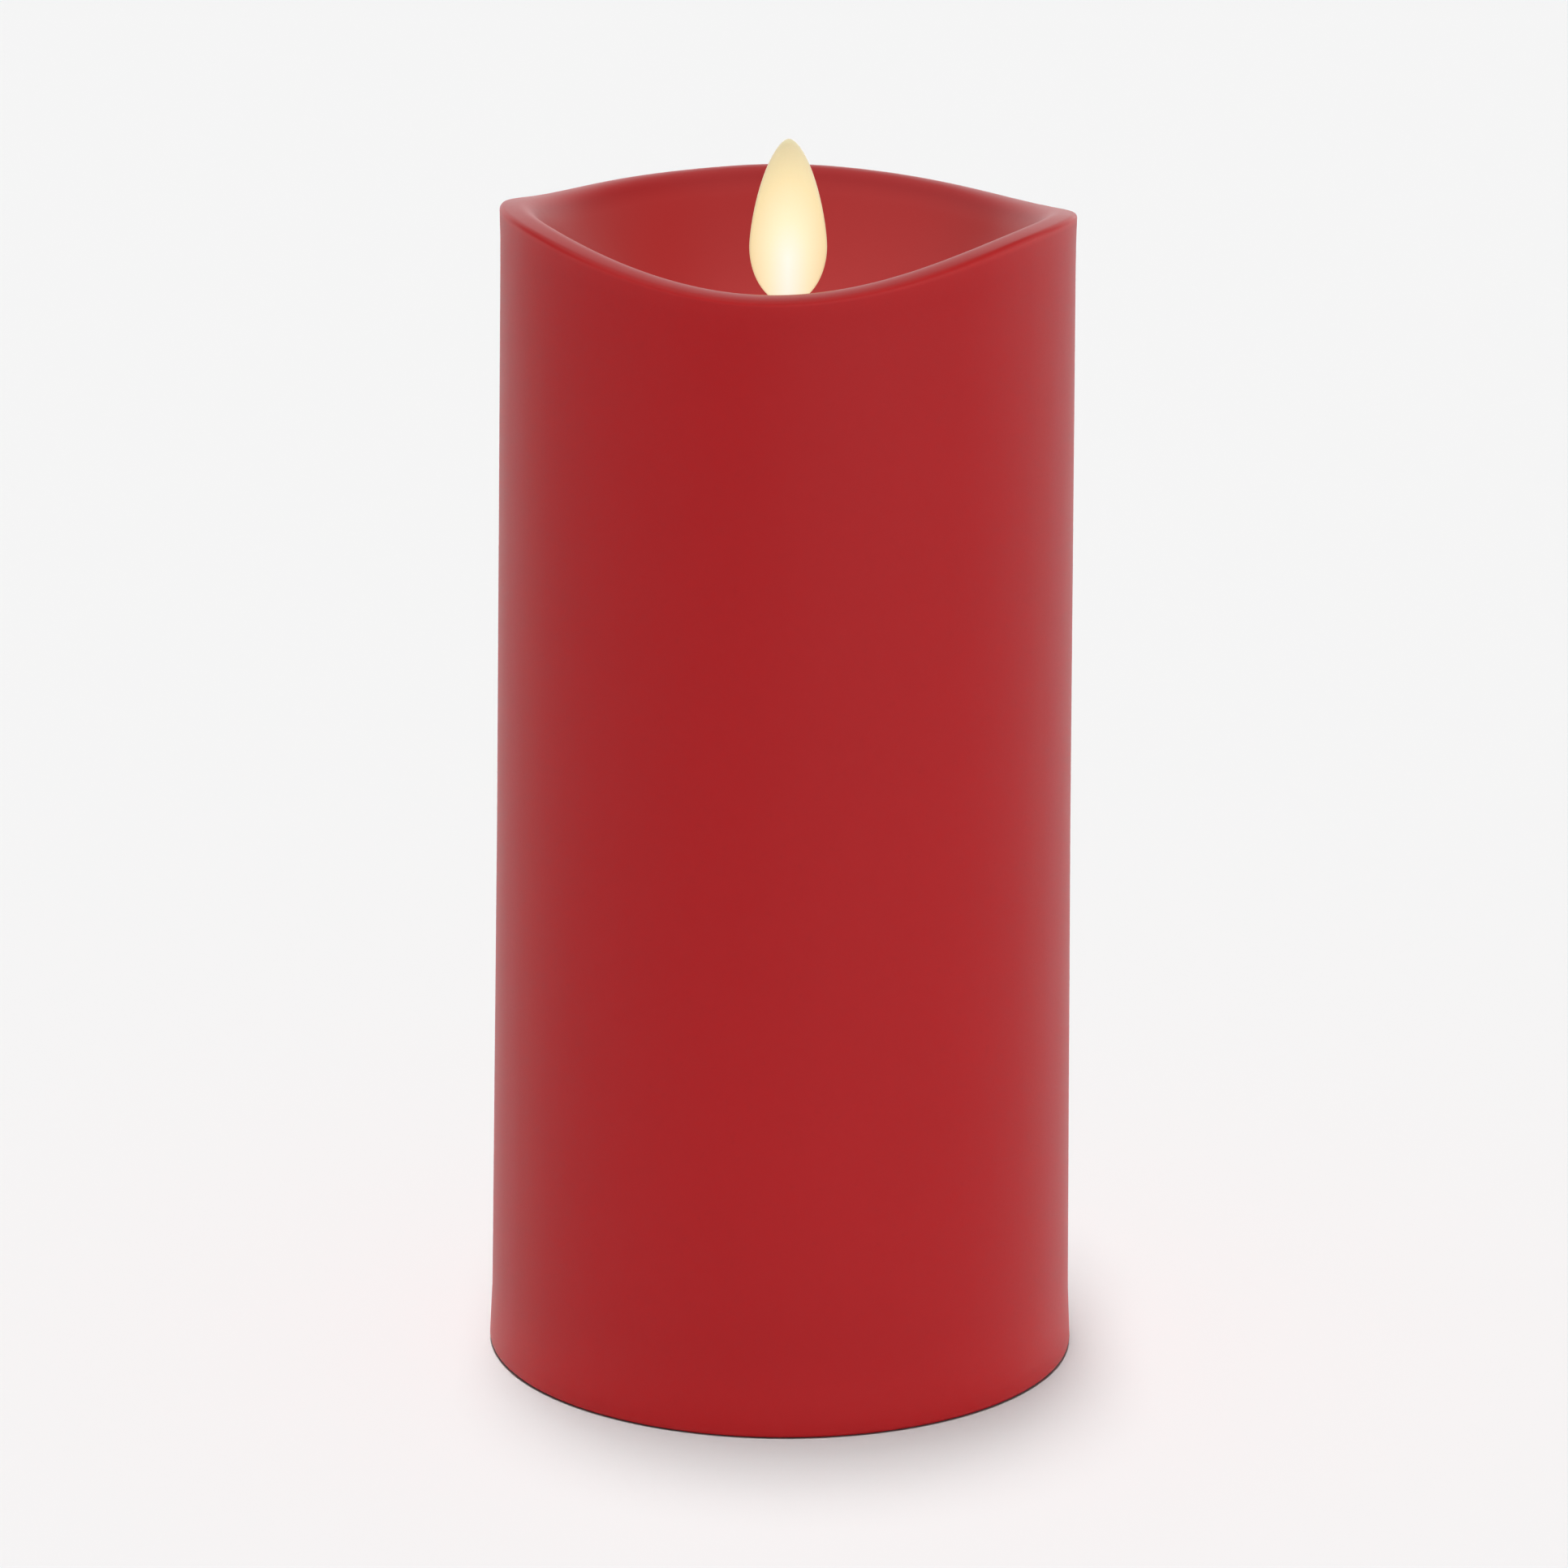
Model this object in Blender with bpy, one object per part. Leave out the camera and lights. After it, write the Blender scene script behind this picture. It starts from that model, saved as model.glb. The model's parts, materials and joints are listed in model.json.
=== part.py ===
"""Flameless LED pillar candle: a real-wax shell with a melted bowl round a swinging plastic flame.

A plastic canister fills the wax shell.  Its deck carries the flame mechanism, in which a magnet on
the flame's tail hangs over a drive coil.  Two C cells stand in a holder above the base cap, which
has a hinged battery door and a three-position slide switch.  Everything is in metres, +Z up, and
the origin is the centre of the foot.  The viewer's side of the candle is -Y.
"""

import math

import bmesh
import bpy
from mathutils import Matrix, Vector

MM = 0.001
GAP = 0.3 * MM                       # left between any two pieces that touch

# ---- wax shell ----
WAX_FOOT_RADIUS = 45.85 * MM         # the foot flares a little where the wax settled in its mould
WAX_LOW_RADIUS = 45.45 * MM
WAX_MID_RADIUS = 44.45 * MM          # nominal 3.5 inch pillar
WAX_TOP_RADIUS = 43.7 * MM
WAX_MID_Z = 85.0 * MM
FOOT_FLARE_Z = 9.0 * MM
FOOT_ROUND = 0.8 * MM
CAVITY_RADIUS = 38.9 * MM
CAVITY_SHOULDER_Z = 148.0 * MM
CAVITY_ROOF_Z = 154.0 * MM
CAVITY_ROOF_RADIUS = 25.0 * MM
RIM_Z = 180.0 * MM                   # mean height of the rim
RIM_CREST = 2.6 * MM                 # from the outer edge to the lip's highest line
RIM_OUTER_ROUND = 0.7 * MM
RIM_TILT = math.radians(4.0)         # slope of the lip where it meets its outer corner
RIM_DROOP = 0.85 * MM                # the outer edge sags this far at the front and the back
RIM_LIFT = 0.2 * MM                  # at the back
RIM_DIPS = ((152.0, 0.5 * MM), (28.0, 0.25 * MM))    # angle in degrees and depth of each soft dip
RIM_DIP_SPREAD = 13.0
# waves round the rim, height of each and its phase in degrees
RIM_WAVES = ((1, 0.19 * MM, 108.0), (2, 1.58 * MM, 18.9), (3, 1.61 * MM, 100.4))
BOWL_FLOOR_Z = 160.0 * MM
BOWL_HOLE_RADIUS = 9.9 * MM
BOWL_STEEPNESS = 2.7                 # the power that lifts the bowl's floor into its wall
BOWL_SHOULDER = 5.0 * MM             # width of the soft slope from the lip down into the bowl
WAX_FACETS = 64

# ---- flame, a pendulum on a thin wire that runs front to back ----
PIVOT_Z = 147.0 * MM
FLAME_TIP_Z = 192.0 * MM
FLAME_WIDE_Z = 175.5 * MM
FLAME_HALF_WIDTH = 5.9 * MM
FLAME_BELLY = 8.8 * MM               # height of the round lower end of the teardrop
FLAME_STEM_HALF = 2.0 * MM
FLAME_EDGE_HALF = 0.55 * MM
FLAME_BULGE = 1.7 * MM
TAIL_FOOT_Z = 130.8 * MM
TAIL_FOOT_THICK = 1.0 * MM
MAGNET_RADIUS = 4.3 * MM
MAGNET_HEIGHT = 4.0 * MM
PIVOT_WIRE_RADIUS = 0.35 * MM
PIVOT_HOLE_RADIUS = 0.85 * MM

# ---- collar in the wax bowl, and the lamp beside the flame ----
COLLAR_RADIUS = BOWL_HOLE_RADIUS - GAP
COLLAR_TOP_Z = 159.6 * MM
COLLAR_PLATE = 2.0 * MM
COLLAR_WALL = 1.2 * MM
COLLAR_SLOT_LENGTH = 10.4 * MM
COLLAR_SLOT_WIDTH = 3.8 * MM
LAMP_RADIUS = 1.5 * MM
LAMP_HEIGHT = 5.3 * MM
LAMP_FLANGE_RADIUS = 1.75 * MM
LAMP_BASE = Vector((0.0, -6.0, 154.2)) * MM
LAMP_TILT = math.radians(-12.0)      # leans the beam onto the flame
LAMP_HOLE_Y = -5.35 * MM
LAMP_HOLE_RADIUS = 2.3 * MM

# ---- mechanism housing, in two halves that meet at x = 0 ----
HOUSING_HALF_X = 13.0 * MM
HOUSING_HALF_Y = 12.5 * MM
HOUSING_WALL = 1.5 * MM
HOUSING_TOP_Z = 153.5 * MM
HOUSING_MOUTH_RADIUS = 8.2 * MM
HOUSING_EAR = Vector((8.0, 15.0, 0.0)) * MM
HOUSING_EAR_RADIUS = 3.4 * MM
HOUSING_EAR_THICK = 2.0 * MM

# ---- drive coil ----
BOBBIN_RADIUS = 8.5 * MM
BOBBIN_CORE = 3.0 * MM
BOBBIN_BORE = 1.2 * MM
BOBBIN_HEIGHT = 10.0 * MM
BOBBIN_FLANGE = 1.0 * MM
COIL_RADIUS = 8.0 * MM

# ---- canister ----
SLEEVE_RADIUS = 38.4 * MM
SLEEVE_WALL = 1.5 * MM
DECK_Z = 112.0 * MM                  # top of the deck that carries the mechanism
DECK_THICK = 2.0 * MM
DECK_SLOT_X = 24.0 * MM              # the wires come up through this slot
BOSS_RING = 34.2 * MM
BOSS_RADIUS = 3.0 * MM
BOSS_HEIGHT = 12.0 * MM
BOSS_ANGLES = (50.0, 130.0, 230.0, 310.0)

# ---- base cap and battery door ----
BASE_Z = 1.2 * MM                    # underside, raised so that the wax foot carries the candle
BASE_THICK = 2.0 * MM
BASE_RADIUS = SLEEVE_RADIUS
BASE_TOP_Z = BASE_Z + BASE_THICK
DOOR_HALF_X = 28.0 * MM
DOOR_FRONT_Y = -14.5 * MM
DOOR_BACK_Y = 14.5 * MM
DOOR_SWING_GAP = 0.7 * MM            # lets the door's back edge swing past the cap
DOOR_THICK = 1.6 * MM
DOOR_CORNER = 5.0 * MM
TONGUE_HALF_X = 7.0 * MM
TONGUE_FRONT_Y = -18.5 * MM
HINGE_Y = 17.0 * MM
HINGE_Z = 2.7 * MM
KNUCKLE_RADIUS = 1.5 * MM
KNUCKLE_INNER_X = 10.0 * MM
KNUCKLE_OUTER_X = 20.0 * MM
HINGE_PIN_RADIUS = 0.8 * MM
HINGE_PIN_REACH = 3.0 * MM
HINGE_SOCKET_RADIUS = 1.1 * MM
CHEEK_WIDTH = 3.7 * MM
CHEEK_TOP_Z = 5.0 * MM

# ---- battery holder, C cells and contacts ----
CELL_X = 13.5 * MM
CELL_RADIUS = 13.0 * MM
CELL_LENGTH = 49.7 * MM
CELL_NUB_RADIUS = 3.2 * MM
CELL_NUB_HEIGHT = 1.5 * MM
CELL_BOTTOM_Z = 7.3 * MM
HOLDER_BAY_RADIUS = 13.7 * MM
HOLDER_WALL = 1.5 * MM
HOLDER_TOP_Z = 62.0 * MM
HOLDER_ROOF = 2.0 * MM
HOLDER_EAR_X = 32.0 * MM
HOLDER_EAR_THICK = 2.0 * MM
CONTACT_THICK = 0.5 * MM
CONTACT_TAIL_TOP_Z = 65.0 * MM
SPRING_WIRE = 0.4 * MM

# ---- slide switch: on, off, timer ----
SWITCH_Y = -26.0 * MM
SWITCH_TRAVEL = 4.0 * MM
SWITCH_CASE = Vector((11.0, 6.0, 4.6)) * MM
SWITCH_CASE_WALL = 0.5 * MM
SWITCH_EAR_X = 7.2 * MM
KNOB = Vector((3.0, 2.6, 0.0)) * MM
KNOB_BOTTOM_Z = 0.6 * MM
SWITCH_SLOT = Vector((7.7, 3.3, 0.0)) * MM

# ---- control board ----
BOARD_X = 17.0 * MM
BOARD_THICK = 1.6 * MM
BOARD_HALF_Y = 13.0 * MM
BOARD_LOW_Z = 114.3 * MM
BOARD_HIGH_Z = 149.0 * MM
BOARD_FACE_X = BOARD_X + BOARD_THICK + GAP
BOARD_SCREWS = ((10.0 * MM, 144.0 * MM), (-10.0 * MM, 118.0 * MM))
STANDOFF_RADIUS = 2.5 * MM

# ---- screws ----
SCREW_SHANK = 1.0 * MM
SCREW_HEAD = 2.5 * MM
SCREW_HEAD_HEIGHT = 1.2 * MM
SCREW_HOLE = 1.35 * MM
SMALL_SHANK = 0.7 * MM
SMALL_HEAD = 1.7 * MM
SMALL_HOLE = 1.05 * MM

WIRE_RADIUS = 0.65 * MM
THIN_WIRE_RADIUS = 0.4 * MM
COIL_LEADS = ((-4.0 * MM, 119.0 * MM), (4.0 * MM, 119.0 * MM))     # y and z in the housing's wall
LAMP_LEADS = ((-6.0 * MM, 142.0 * MM), (-9.5 * MM, 147.0 * MM))


# ------------------------------------------------------------------ helpers
def empty_scene():
    for thing in list(bpy.data.objects):
        bpy.data.objects.remove(thing, do_unlink=True)


def material(name, colour, roughness, metallic=0.0):
    mat = bpy.data.materials.new(name)
    mat.use_nodes = True
    shader = mat.node_tree.nodes["Principled BSDF"]
    shader.inputs["Base Color"].default_value = (*colour, 1.0)
    shader.inputs["Roughness"].default_value = roughness
    shader.inputs["Metallic"].default_value = metallic
    mat.diffuse_color = (*colour, 1.0)
    return mat


def add(name, bm, mat=None, parent=None, smooth=True):
    """Turn a finished bmesh into a named object."""
    bmesh.ops.remove_doubles(bm, verts=bm.verts, dist=1e-7)
    bmesh.ops.recalc_face_normals(bm, faces=bm.faces)
    mesh = bpy.data.meshes.new(name)
    bm.to_mesh(mesh)
    bm.free()
    if smooth:
        mesh.shade_smooth()
        mesh.set_sharp_from_angle(angle=math.radians(40.0))
    thing = bpy.data.objects.new(name, mesh)
    bpy.context.scene.collection.objects.link(thing)
    thing.parent = parent
    if mat:
        mesh.materials.append(mat)
    return thing


def pivot(name, place):
    """An empty on a joint's axis, which the moving pieces hang from."""
    empty = bpy.data.objects.new(name, None)
    empty.empty_display_size = 5.0 * MM
    empty.location = place
    bpy.context.scene.collection.objects.link(empty)
    return empty


def modify(target, operation, tools):
    """Add or cut shapes with Boolean modifiers; the tools stay as hidden wire guides."""
    for count, tool in enumerate(tools):
        tool.name = f"guide_{target.name}_{operation.lower()}_{count}"
        tool.parent = target.parent
        tool.hide_render = True
        tool.display_type = "WIRE"
        boolean = target.modifiers.new(tool.name, "BOOLEAN")
        boolean.operation = operation
        boolean.solver = "EXACT"
        boolean.object = tool
    return target


def cut(target, *tools):
    return modify(target, "DIFFERENCE", tools)


def join(target, *tools):
    return modify(target, "UNION", tools)


def turned_mesh(profile, segments):
    """Spin a profile of (radius, height) points about Z; it closes unless it ends on the axis."""
    bm = bmesh.new()
    verts = [bm.verts.new((radius, 0.0, height)) for radius, height in profile]
    edges = [bm.edges.new(pair) for pair in zip(verts, verts[1:])]
    if profile[0][0] > 0.0:
        edges.append(bm.edges.new((verts[-1], verts[0])))
    bmesh.ops.spin(bm, geom=verts + edges, cent=(0, 0, 0), axis=(0, 0, 1),
                   angle=math.tau, steps=segments, use_merge=True)
    return bm


def turned(name, profile, mat=None, parent=None, segments=32):
    return add(name, turned_mesh(profile, segments), mat, parent)


def rod(name, start, end, radius, mat=None, parent=None, segments=16):
    """A round bar between two points."""
    start = Vector(start)
    along = Vector(end) - start
    bm = turned_mesh([(0.0, 0.0), (radius, 0.0), (radius, along.length), (0.0, along.length)], segments)
    turn = Vector((0, 0, 1)).rotation_difference(along).to_matrix().to_4x4()
    bmesh.ops.transform(bm, matrix=Matrix.Translation(start) @ turn, verts=bm.verts)
    return add(name, bm, mat, parent)


def ring_profile(inner, outer, low, high):
    return [(outer, low), (outer, high), (inner, high), (inner, low)]


def block(name, low, high, mat=None, parent=None, bevel=0.0):
    """A box between two corners, with its edges rounded where a bevel is given."""
    low, high = Vector(low), Vector(high)
    bm = bmesh.new()
    bmesh.ops.create_cube(bm, size=1.0)
    bmesh.ops.scale(bm, vec=high - low, verts=bm.verts)
    bmesh.ops.translate(bm, vec=(low + high) / 2, verts=bm.verts)
    if bevel:
        bmesh.ops.bevel(bm, geom=list(bm.edges), offset=bevel, segments=1, affect="EDGES")
    return add(name, bm, mat, parent, smooth=False)


def prism(name, outline, low, high, mat=None, parent=None, axis="Z"):
    """Extrude a flat outline; along Y its points are (x, z) and along Z they are (x, y)."""
    bm = bmesh.new()
    if axis == "Z":
        verts = [bm.verts.new((x, y, low)) for x, y in outline]
        step = Vector((0, 0, high - low))
    else:
        verts = [bm.verts.new((x, low, z)) for x, z in outline]
        step = Vector((0, high - low, 0))
    face = bm.faces.new(verts)
    raised = bmesh.ops.extrude_face_region(bm, geom=[face])["geom"]
    moved = [item for item in raised if isinstance(item, bmesh.types.BMVert)]
    bmesh.ops.translate(bm, vec=step, verts=moved)
    return add(name, bm, mat, parent)


def rounded_rectangle(x0, x1, y0, y1, radius, steps=5):
    """Outline of a rectangle with round corners."""
    centres = ((x1 - radius, y1 - radius, 0), (x0 + radius, y1 - radius, 90),
               (x0 + radius, y0 + radius, 180), (x1 - radius, y0 + radius, 270))
    points = []
    for cx, cy, first in centres:
        for step in range(steps + 1):
            angle = math.radians(first + 90.0 * step / steps)
            points.append((cx + radius * math.cos(angle), cy + radius * math.sin(angle)))
    return points


def stadium(half_length, radius, centre=(0.0, 0.0), steps=12):
    """Outline with round ends; half_length is from the middle to each end's centre."""
    x, y = centre
    reach = half_length + radius
    # the corner arcs would meet at a point, so the straight ends are left 1 micron long
    return rounded_rectangle(x - reach, x + reach, y - radius, y + radius, radius - 1e-6, steps)


def tube(name, points, radius, mat, parent=None, sides=1, smooth_steps=0):
    """A round wire along a route; smooth_steps rounds its bends with a Catmull-Rom curve."""
    points = [Vector(point) for point in points]
    if smooth_steps:
        points = smooth_route(points, smooth_steps)
    curve = bpy.data.curves.new(name, "CURVE")
    curve.dimensions = "3D"
    curve.bevel_depth = radius
    curve.bevel_resolution = sides
    curve.use_fill_caps = True
    spline = curve.splines.new("POLY")
    spline.points.add(len(points) - 1)
    for knot, point in zip(spline.points, points):
        knot.co = (*point, 1.0)
    curve.materials.append(mat)
    thing = bpy.data.objects.new(name, curve)
    thing.parent = parent
    bpy.context.scene.collection.objects.link(thing)
    return thing


def smooth_route(points, steps):
    padded = [points[0] * 2 - points[1], *points, points[-1] * 2 - points[-2]]
    route = []
    for a, b, c, d in zip(padded, padded[1:], padded[2:], padded[3:]):
        for step in range(steps):
            t = step / steps
            route.append(0.5 * (2 * b + (c - a) * t + (2 * a - 5 * b + 4 * c - d) * t ** 2
                                + (3 * b - a - 3 * c + d) * t ** 3))
    return route + [points[-1]]


def screw(name, head, direction, length, mat, shank=SCREW_SHANK, head_radius=SCREW_HEAD,
          head_height=SCREW_HEAD_HEIGHT):
    """A pan-head screw: head is the middle of the head's underside, direction runs down the shank."""
    bm = turned_mesh([(0.0, -head_height), (head_radius * 0.7, -head_height),
                      (head_radius, -head_height * 0.55), (head_radius, 0.0), (shank, 0.0),
                      (shank, length - shank), (0.0, length)], 12)
    turn = Vector((0, 0, 1)).rotation_difference(Vector(direction)).to_matrix().to_4x4()
    bmesh.ops.transform(bm, matrix=Matrix.Translation(Vector(head)) @ turn, verts=bm.verts)
    return add(name, bm, mat)


def hole(start, end, radius, segments=12):
    return rod("guide", start, end, radius, segments=segments)


# ------------------------------------------------------------------ wax shell
def rim_wave(angle):
    """Height of the rim above its mean at an angle round the candle."""
    waves = sum(height * math.cos(count * angle + math.radians(phase)) for count, height, phase in RIM_WAVES)
    dips = sum(depth * math.exp(-((math.degrees(angle) - middle) / RIM_DIP_SPREAD) ** 2)
               for middle, depth in RIM_DIPS)
    return waves - dips + RIM_LIFT * max(math.sin(angle), 0.0) ** 2


def rim_droop(angle, radius):
    """How far the lip sags between its crest and its outer edge."""
    reach = min(max((radius - WAX_TOP_RADIUS + RIM_CREST) / RIM_CREST, 0.0), 1.0)
    return RIM_DROOP * math.sin(angle) ** 2 * reach ** 2


def lip_profile(steps=2, shoulder_steps=4):
    """The lip from its outer corner, over a low crown, down the shoulder to the bowl's wall."""
    crest = WAX_TOP_RADIUS - RIM_CREST
    edge = WAX_TOP_RADIUS - RIM_OUTER_ROUND
    span = edge + RIM_OUTER_ROUND * math.sin(RIM_TILT) - crest
    fall = span * math.tan(RIM_TILT) / 2
    centre_z = RIM_Z - fall - RIM_OUTER_ROUND * math.cos(RIM_TILT)
    points = []
    for step in range(steps + 1):
        angle = (math.pi / 2 - RIM_TILT) * step / steps
        points.append((edge + RIM_OUTER_ROUND * math.cos(angle),
                       centre_z + RIM_OUTER_ROUND * math.sin(angle)))
    for step in range(1, steps + 1):
        reach = 1.0 - step / steps
        points.append((crest + span * reach, RIM_Z - fall * reach ** 2))
    steep = BOWL_STEEPNESS * BOWL_SHOULDER / 2 / (crest - BOWL_SHOULDER - BOWL_HOLE_RADIUS)
    drop = (RIM_Z - BOWL_FLOOR_Z) * steep / (1 + steep)
    for step in range(1, shoulder_steps + 1):
        reach = step / shoulder_steps
        points.append((crest - BOWL_SHOULDER * reach, RIM_Z - drop * reach ** 2))
    return points


def wax_profile(bowl_steps=7):
    points = [(WAX_FOOT_RADIUS - FOOT_ROUND, 0.0), (WAX_FOOT_RADIUS, FOOT_ROUND),
              (WAX_LOW_RADIUS, FOOT_FLARE_Z), (WAX_MID_RADIUS, WAX_MID_Z)]
    points += lip_profile()
    inner, top = points[-1]
    for step in range(1, bowl_steps + 1):
        reach = step / bowl_steps
        points.append((inner + (BOWL_HOLE_RADIUS - inner) * reach,
                       BOWL_FLOOR_Z + (top - BOWL_FLOOR_Z) * (1.0 - reach) ** BOWL_STEEPNESS))
    points += [(BOWL_HOLE_RADIUS, CAVITY_ROOF_Z), (CAVITY_ROOF_RADIUS, CAVITY_ROOF_Z),
               (CAVITY_RADIUS, CAVITY_SHOULDER_Z), (CAVITY_RADIUS, 0.0)]
    return points


def wax_shell(mat):
    """A turned shell whose rim is then lifted and dipped, as a real pillar melts unevenly."""
    bm = turned_mesh(wax_profile(), WAX_FACETS)
    for vert in bm.verts:
        angle = math.atan2(vert.co.y, vert.co.x)
        rise = min(max((vert.co.z - BOWL_FLOOR_Z) / (RIM_Z - BOWL_FLOOR_Z), 0.0), 1.0)
        radius = math.hypot(vert.co.x, vert.co.y)
        vert.co.z += rise ** 2 * (rim_wave(angle) - rim_droop(angle, radius))
    return add("wax_shell", bm, mat)


# ------------------------------------------------------------------ flame
def flame_half_width(z):
    """Half width of the flame and its stem at a height."""
    if z >= FLAME_WIDE_Z:
        reach = (z - FLAME_WIDE_Z) / (FLAME_TIP_Z - FLAME_WIDE_Z)
        return FLAME_HALF_WIDTH * max(1.0 - reach ** 1.5, 0.0) ** 0.58
    drop = min((FLAME_WIDE_Z - z) / FLAME_BELLY, 1.0)
    return max(FLAME_HALF_WIDTH * math.sqrt(1.0 - drop ** 2), FLAME_STEM_HALF)


def flame_rows():
    """Heights of the flame's rows, closer together where its outline bends."""
    tail = TAIL_FOOT_Z + TAIL_FOOT_THICK / 2
    rows = [tail, PIVOT_Z - 3 * MM, PIVOT_Z + 3 * MM, FLAME_WIDE_Z - FLAME_BELLY - 1 * MM]
    rows += [FLAME_WIDE_Z - FLAME_BELLY * math.cos(math.radians(14.0 + 76.0 * step / 5))
             for step in range(6)]
    rows += [FLAME_WIDE_Z + (FLAME_TIP_Z - FLAME_WIDE_Z) * math.sin(math.radians(90.0 * step / 9))
             for step in range(1, 9)]
    return rows


def flame_blade(mat, parent, columns=6):
    """A thin teardrop, thicker along its middle, with a stem and a tail below the pivot."""
    bm = bmesh.new()
    grids = []
    for side in (-1, 1):
        grid = []
        for z in flame_rows():
            half = flame_half_width(z)
            bulge = FLAME_BULGE * half / FLAME_HALF_WIDTH
            row = []
            for column in range(columns + 1):
                across = 2.0 * column / columns - 1.0
                thick = FLAME_EDGE_HALF + bulge * (1.0 - across ** 2)
                row.append(bm.verts.new((across * half, side * thick, z - PIVOT_Z)))
            grid.append(row)
        grids.append(grid)
    front, back = grids
    for grid in grids:
        for low, high in zip(grid, grid[1:]):
            for column in range(columns):
                bm.faces.new((low[column], low[column + 1], high[column + 1], high[column]))
    for column in (0, columns):
        for index in range(len(front) - 1):
            bm.faces.new((front[index][column], front[index + 1][column],
                          back[index + 1][column], back[index][column]))
    for column in range(columns):
        bm.faces.new((front[0][column], front[0][column + 1], back[0][column + 1], back[0][column]))
    tip = bm.verts.new((0.0, 0.0, FLAME_TIP_Z - PIVOT_Z))
    loop = front[-1] + back[-1][::-1]
    for first, second in zip(loop, loop[1:] + loop[:1]):
        bm.faces.new((first, second, tip))
    blade = add("flame_blade", bm, mat, parent)
    foot = turned("guide", [(0.0, TAIL_FOOT_Z - PIVOT_Z), (MAGNET_RADIUS, TAIL_FOOT_Z - PIVOT_Z),
                            (MAGNET_RADIUS, TAIL_FOOT_Z + TAIL_FOOT_THICK - PIVOT_Z),
                            (0.0, TAIL_FOOT_Z + TAIL_FOOT_THICK - PIVOT_Z)], segments=24)
    join(blade, foot)
    return cut(blade, hole((0, -2 * MM, 0), (0, 2 * MM, 0), PIVOT_HOLE_RADIUS))


def flame_group(mats):
    axis = pivot("flame_pivot", (0.0, 0.0, PIVOT_Z))
    flame_blade(mats["flame"], axis)
    top = TAIL_FOOT_Z - GAP - PIVOT_Z
    rod("flame_magnet", (0, 0, top - MAGNET_HEIGHT), (0, 0, top), MAGNET_RADIUS, mats["magnet"], axis,
        segments=24)


# ------------------------------------------------------------------ collar, lamp, housing, coil
def flame_collar(mat):
    skirt_bottom = HOUSING_TOP_Z + GAP
    under = COLLAR_TOP_Z - COLLAR_PLATE
    inner = COLLAR_RADIUS - COLLAR_WALL
    profile = [(0.0, COLLAR_TOP_Z), (COLLAR_RADIUS - 0.5 * MM, COLLAR_TOP_Z),
               (COLLAR_RADIUS, COLLAR_TOP_Z - 0.5 * MM), (COLLAR_RADIUS, skirt_bottom),
               (inner, skirt_bottom), (inner, under), (0.0, under)]
    collar = turned("flame_collar", profile, mat, segments=32)
    half = (COLLAR_SLOT_LENGTH - COLLAR_SLOT_WIDTH) / 2
    slot = prism("guide", stadium(half, COLLAR_SLOT_WIDTH / 2, steps=4), under - MM, COLLAR_TOP_Z + MM)
    lamp_hole = hole((0, LAMP_HOLE_Y, under - MM), (0, LAMP_HOLE_Y, COLLAR_TOP_Z + MM),
                     LAMP_HOLE_RADIUS)
    return cut(collar, slot, lamp_hole)


def led_lamp(mat):
    """A 3 mm lamp with a domed nose and a flange, leaning towards the flame."""
    neck = 1.0 * MM
    profile = [(0.0, 0.0), (LAMP_FLANGE_RADIUS, 0.0), (LAMP_FLANGE_RADIUS, neck), (LAMP_RADIUS, neck)]
    for step in range(5):
        angle = math.radians(90.0 * step / 4)
        profile.append((LAMP_RADIUS * math.cos(angle) if step < 4 else 0.0,
                        LAMP_HEIGHT - LAMP_RADIUS * (1 - math.sin(angle))))
    lamp = turned("led_lamp", profile, mat, segments=20)
    lamp.location = LAMP_BASE
    lamp.rotation_euler = (LAMP_TILT, 0.0, 0.0)
    return lamp


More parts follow.
